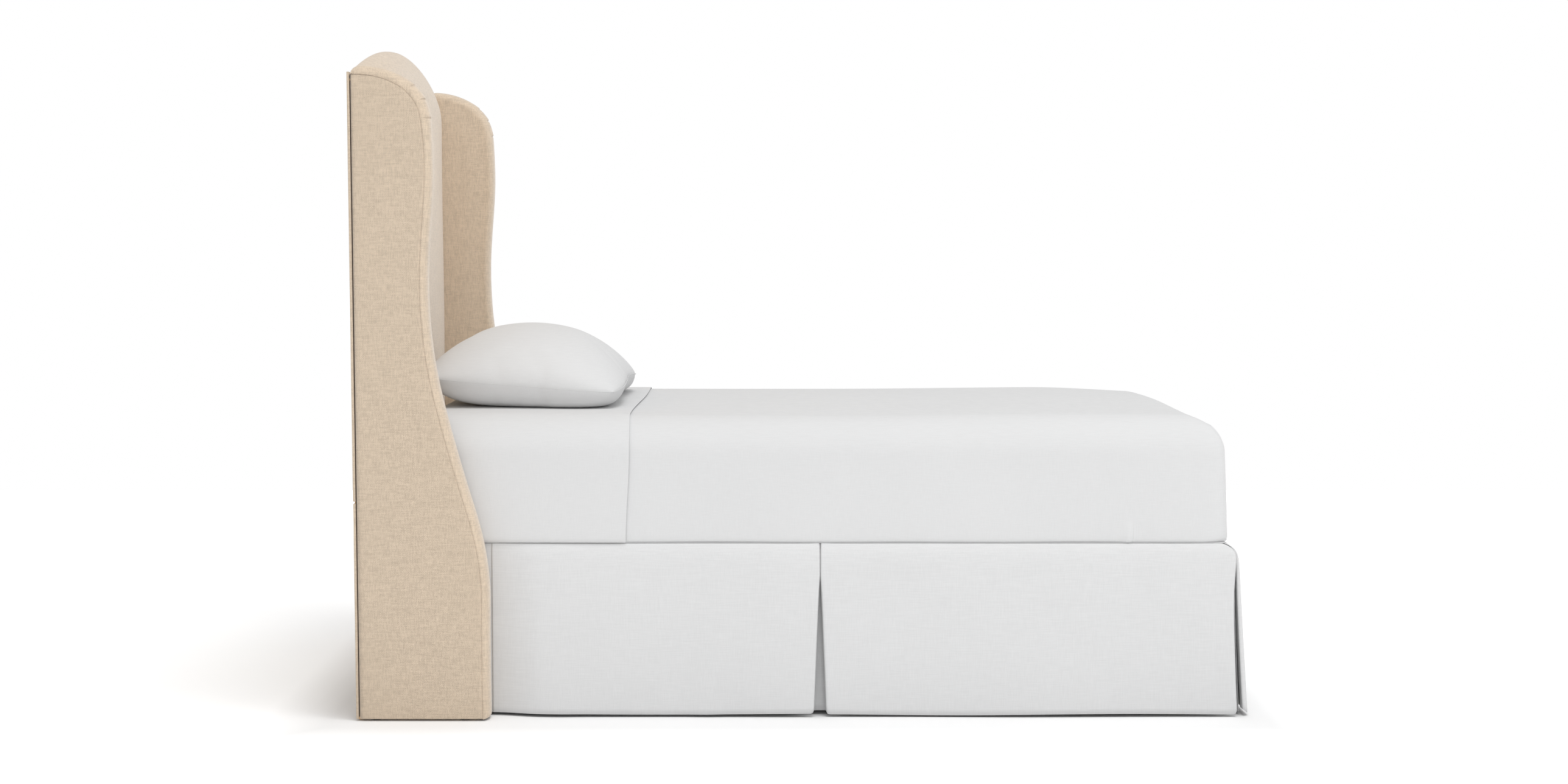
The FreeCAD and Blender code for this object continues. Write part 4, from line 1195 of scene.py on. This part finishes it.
def lay_pillow(obj, flat):
    """Brings the filled pillow to its size and lays it on the bed, its head end raised.

    flat holds the points before filling; the filled ones add their creases and fullness.
    """
    u, v = (flat[:, :2] / [PILLOW_LENGTH / 2, PILLOW_WIDTH / 2]).T
    layer = np.where(flat[:, 2] >= 0, 1.0, -1.0)
    filled = points_of(obj)
    half = (filled.max(axis=0) - filled.min(axis=0)) / 2
    filled_u, filled_v, filled_w = ((filled - filled.min(axis=0)) / half - 1).T
    creases = 0.16

    crest = u - 0.06 * (1 - u ** 2)
    upper = (1 - crest ** 2).clip(0) ** 0.80 * (1 - np.abs(v) ** 3.2).clip(0) ** 0.55
    lower = (1 - np.abs(u) ** 3.6).clip(0) ** 0.5 * (1 - np.abs(v) ** 9).clip(0) ** 0.5
    w = np.where(layer > 0, upper, -lower)
    w = w + creases * (filled_w - w)
    along = u * (1 - 0.13 * np.abs(v) ** 5)
    along = along + creases * (filled_u - along)
    across = v * (1 - 0.07 * np.abs(u) ** 5)
    across = across + creases * (filled_v - across)

    seam = PILLOW_SEAM - 19 * MM * (along + 1) - 22 * MM * across ** 2
    z = seam + np.where(w > 0, PILLOW_UP, PILLOW_DOWN) * w
    # Underneath it flattens on the bed, softly at first.
    soft = 5 * MM
    above = (z - PILLOW_REST) / soft
    settled = np.log1p(np.exp(np.clip(above, -40, 12)))
    z = PILLOW_REST + soft * np.where(above > 12, above, settled)
    points = np.stack([PILLOW_MIDDLE + PILLOW_HALF[0] * along, PILLOW_HALF[1] * across, z], axis=-1)
    obj.data.vertices.foreach_set("co", points.ravel())
    obj.data.update()
    rim = points[np.abs(flat[:, 2]) < 0.2 * MM]
    out_x = (rim[:, 0] - PILLOW_MIDDLE) / PILLOW_HALF[0]
    return rim[np.argsort(np.arctan2(rim[:, 1] / PILLOW_HALF[1], out_x))]


pillow = pillow_blank()
blank_points = points_of(pillow)
inflate(pillow)
pillow_rim = lay_pillow(pillow, blank_points)
fine = pillow.modifiers.new("fine", "SUBSURF")
fine.levels = 1
fine.render_levels = 1
settle(pillow)
pillow_seam = tube("pillow_seam", pillow_rim, 0.7 * MM, cotton)
dress(pillow_seam, "pillow", "linen")
dress(pillow, "pillow", "linen", "pillow_case", "pillow_insert")

# ------------------------------------------------------------------ bare structure

FINISHES = (
    (("leg_glide", "wing_glides"), plastic),
    (("bracket_bolts", "frame_rivets", "wing_bolts"), zinc),
    (("cross_arm", "headboard_bracket", "leg_foot", "leg_head", "side_rail"), steel),
    (("box_spring_frame", "box_spring_slats", "wing_core"), wood),
    (("headboard_post", "headboard_top_rail", "headboard_middle_rail"), wood),
    (("headboard_bottom_rail", "headboard_face_board"), wood),
)
for prefixes, finish in FINISHES:
    for name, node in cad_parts.items():
        if name.startswith(prefixes):
            for holder in node.material_slots:
                holder.material = finish

# ------------------------------------------------------------------ studio


def light(name, place, size, power, aim):
    """A soft rectangular lamp turned towards aim."""
    lamp = bpy.data.lights.new(name, "AREA")
    lamp.shape = "RECTANGLE"
    lamp.size, lamp.size_y = size
    lamp.energy = power
    obj = add(name, lamp)
    obj.location = place
    toward = obj.location.__class__(aim) - obj.location
    obj.rotation_euler = toward.to_track_quat("-Z", "Y").to_euler()
    return obj


scene = bpy.context.scene
world = bpy.data.worlds.new("studio")
scene.world = world
world.use_nodes = True
backdrop = world.node_tree.nodes["Background"]
backdrop.inputs["Color"].default_value = (1, 1, 1, 1)
# The camera sees the backdrop full white; the bed is lit by it less brightly.
seen = world.node_tree.nodes.new("ShaderNodeLightPath")
brightness = world.node_tree.nodes.new("ShaderNodeMapRange")
brightness.inputs["To Min"].default_value = 0.63
brightness.inputs["To Max"].default_value = 1.0
world.node_tree.links.new(seen.outputs["Is Camera Ray"], brightness.inputs["Value"])
world.node_tree.links.new(brightness.outputs["Result"], backdrop.inputs["Strength"])
scene.view_settings.view_transform = "Standard"

light("key", (1.2, -2.2, 9.5), (3.6, 3.6), 350, (0.0, 0.0, 0.6))
light("fill", (5.5, -3.5, 5.0), (3.0, 2.6), 60, (-0.9, 0.3, 0.9))
light("front", (0.6, -7.5, 2.4), (3.0, 2.6), 66, (-0.4, 0.3, 0.8))

floor_mesh = bpy.data.meshes.new("floor")
reach = 3.8
corners = [(-reach, -reach, 0), (reach, -reach, 0), (reach, reach, 0), (-reach, reach, 0)]
floor_mesh.from_pydata(corners, [], [(0, 1, 2, 3)])
floor = add("floor", floor_mesh)
pale, pale_tree, pale_shader = new_material("pale_floor", 0.95, specular=0.0)
paper = noise(pale_tree, 2.0, detail=2.0)
paint(pale_tree, pale_shader, paper, ((0.3, (0.87, 0.87, 0.87)), (0.7, (0.89, 0.89, 0.89))))
pale_shader.inputs["Emission Color"].default_value = (1, 1, 1, 1)
# The floor glows away from the bed, so that it meets the white backdrop, and
# stays plain round the bed's footprint, where it takes the shadow.
place = axes_of(pale_tree)
beyond = []
for axis, half in (("X", -BACK_X), ("Y", WING_OUT)):
    along_axis = math_node(pale_tree, "ABSOLUTE", place[axis], 0.0)
    beyond.append(math_node(pale_tree, "SUBTRACT", along_axis, float(half)))
outside = math_node(pale_tree, "MAXIMUM", *beyond)
GLOW_REACH = 2.5
GLOW = ((0.0, 0.0), (0.025, 0.0), (0.09, 0.25), (0.4, 0.26), (1.0, 1.0))
far = math_node(pale_tree, "DIVIDE", outside, GLOW_REACH)
glow = ramp(pale_tree, far, [(spot, (level,) * 3) for spot, level in GLOW])
pale_tree.links.new(glow, pale_shader.inputs["Emission Strength"])
floor_mesh.materials.append(pale)

# The camera stands square to the bed's right side, nearly in line with the
# headboard's wing, and looks slightly down.
CAMERA_PLACE = (-0.0362, -5.508, 1.144)
CAMERA_PITCH = math.radians(4.42)
lens = bpy.data.cameras.new("camera")
lens.lens = 50
lens.sensor_width = 36
lens.clip_end = 100
camera = add("camera", lens)
camera.location = CAMERA_PLACE
camera.rotation_euler = (math.pi / 2 - CAMERA_PITCH, 0, 0)
scene.camera = camera
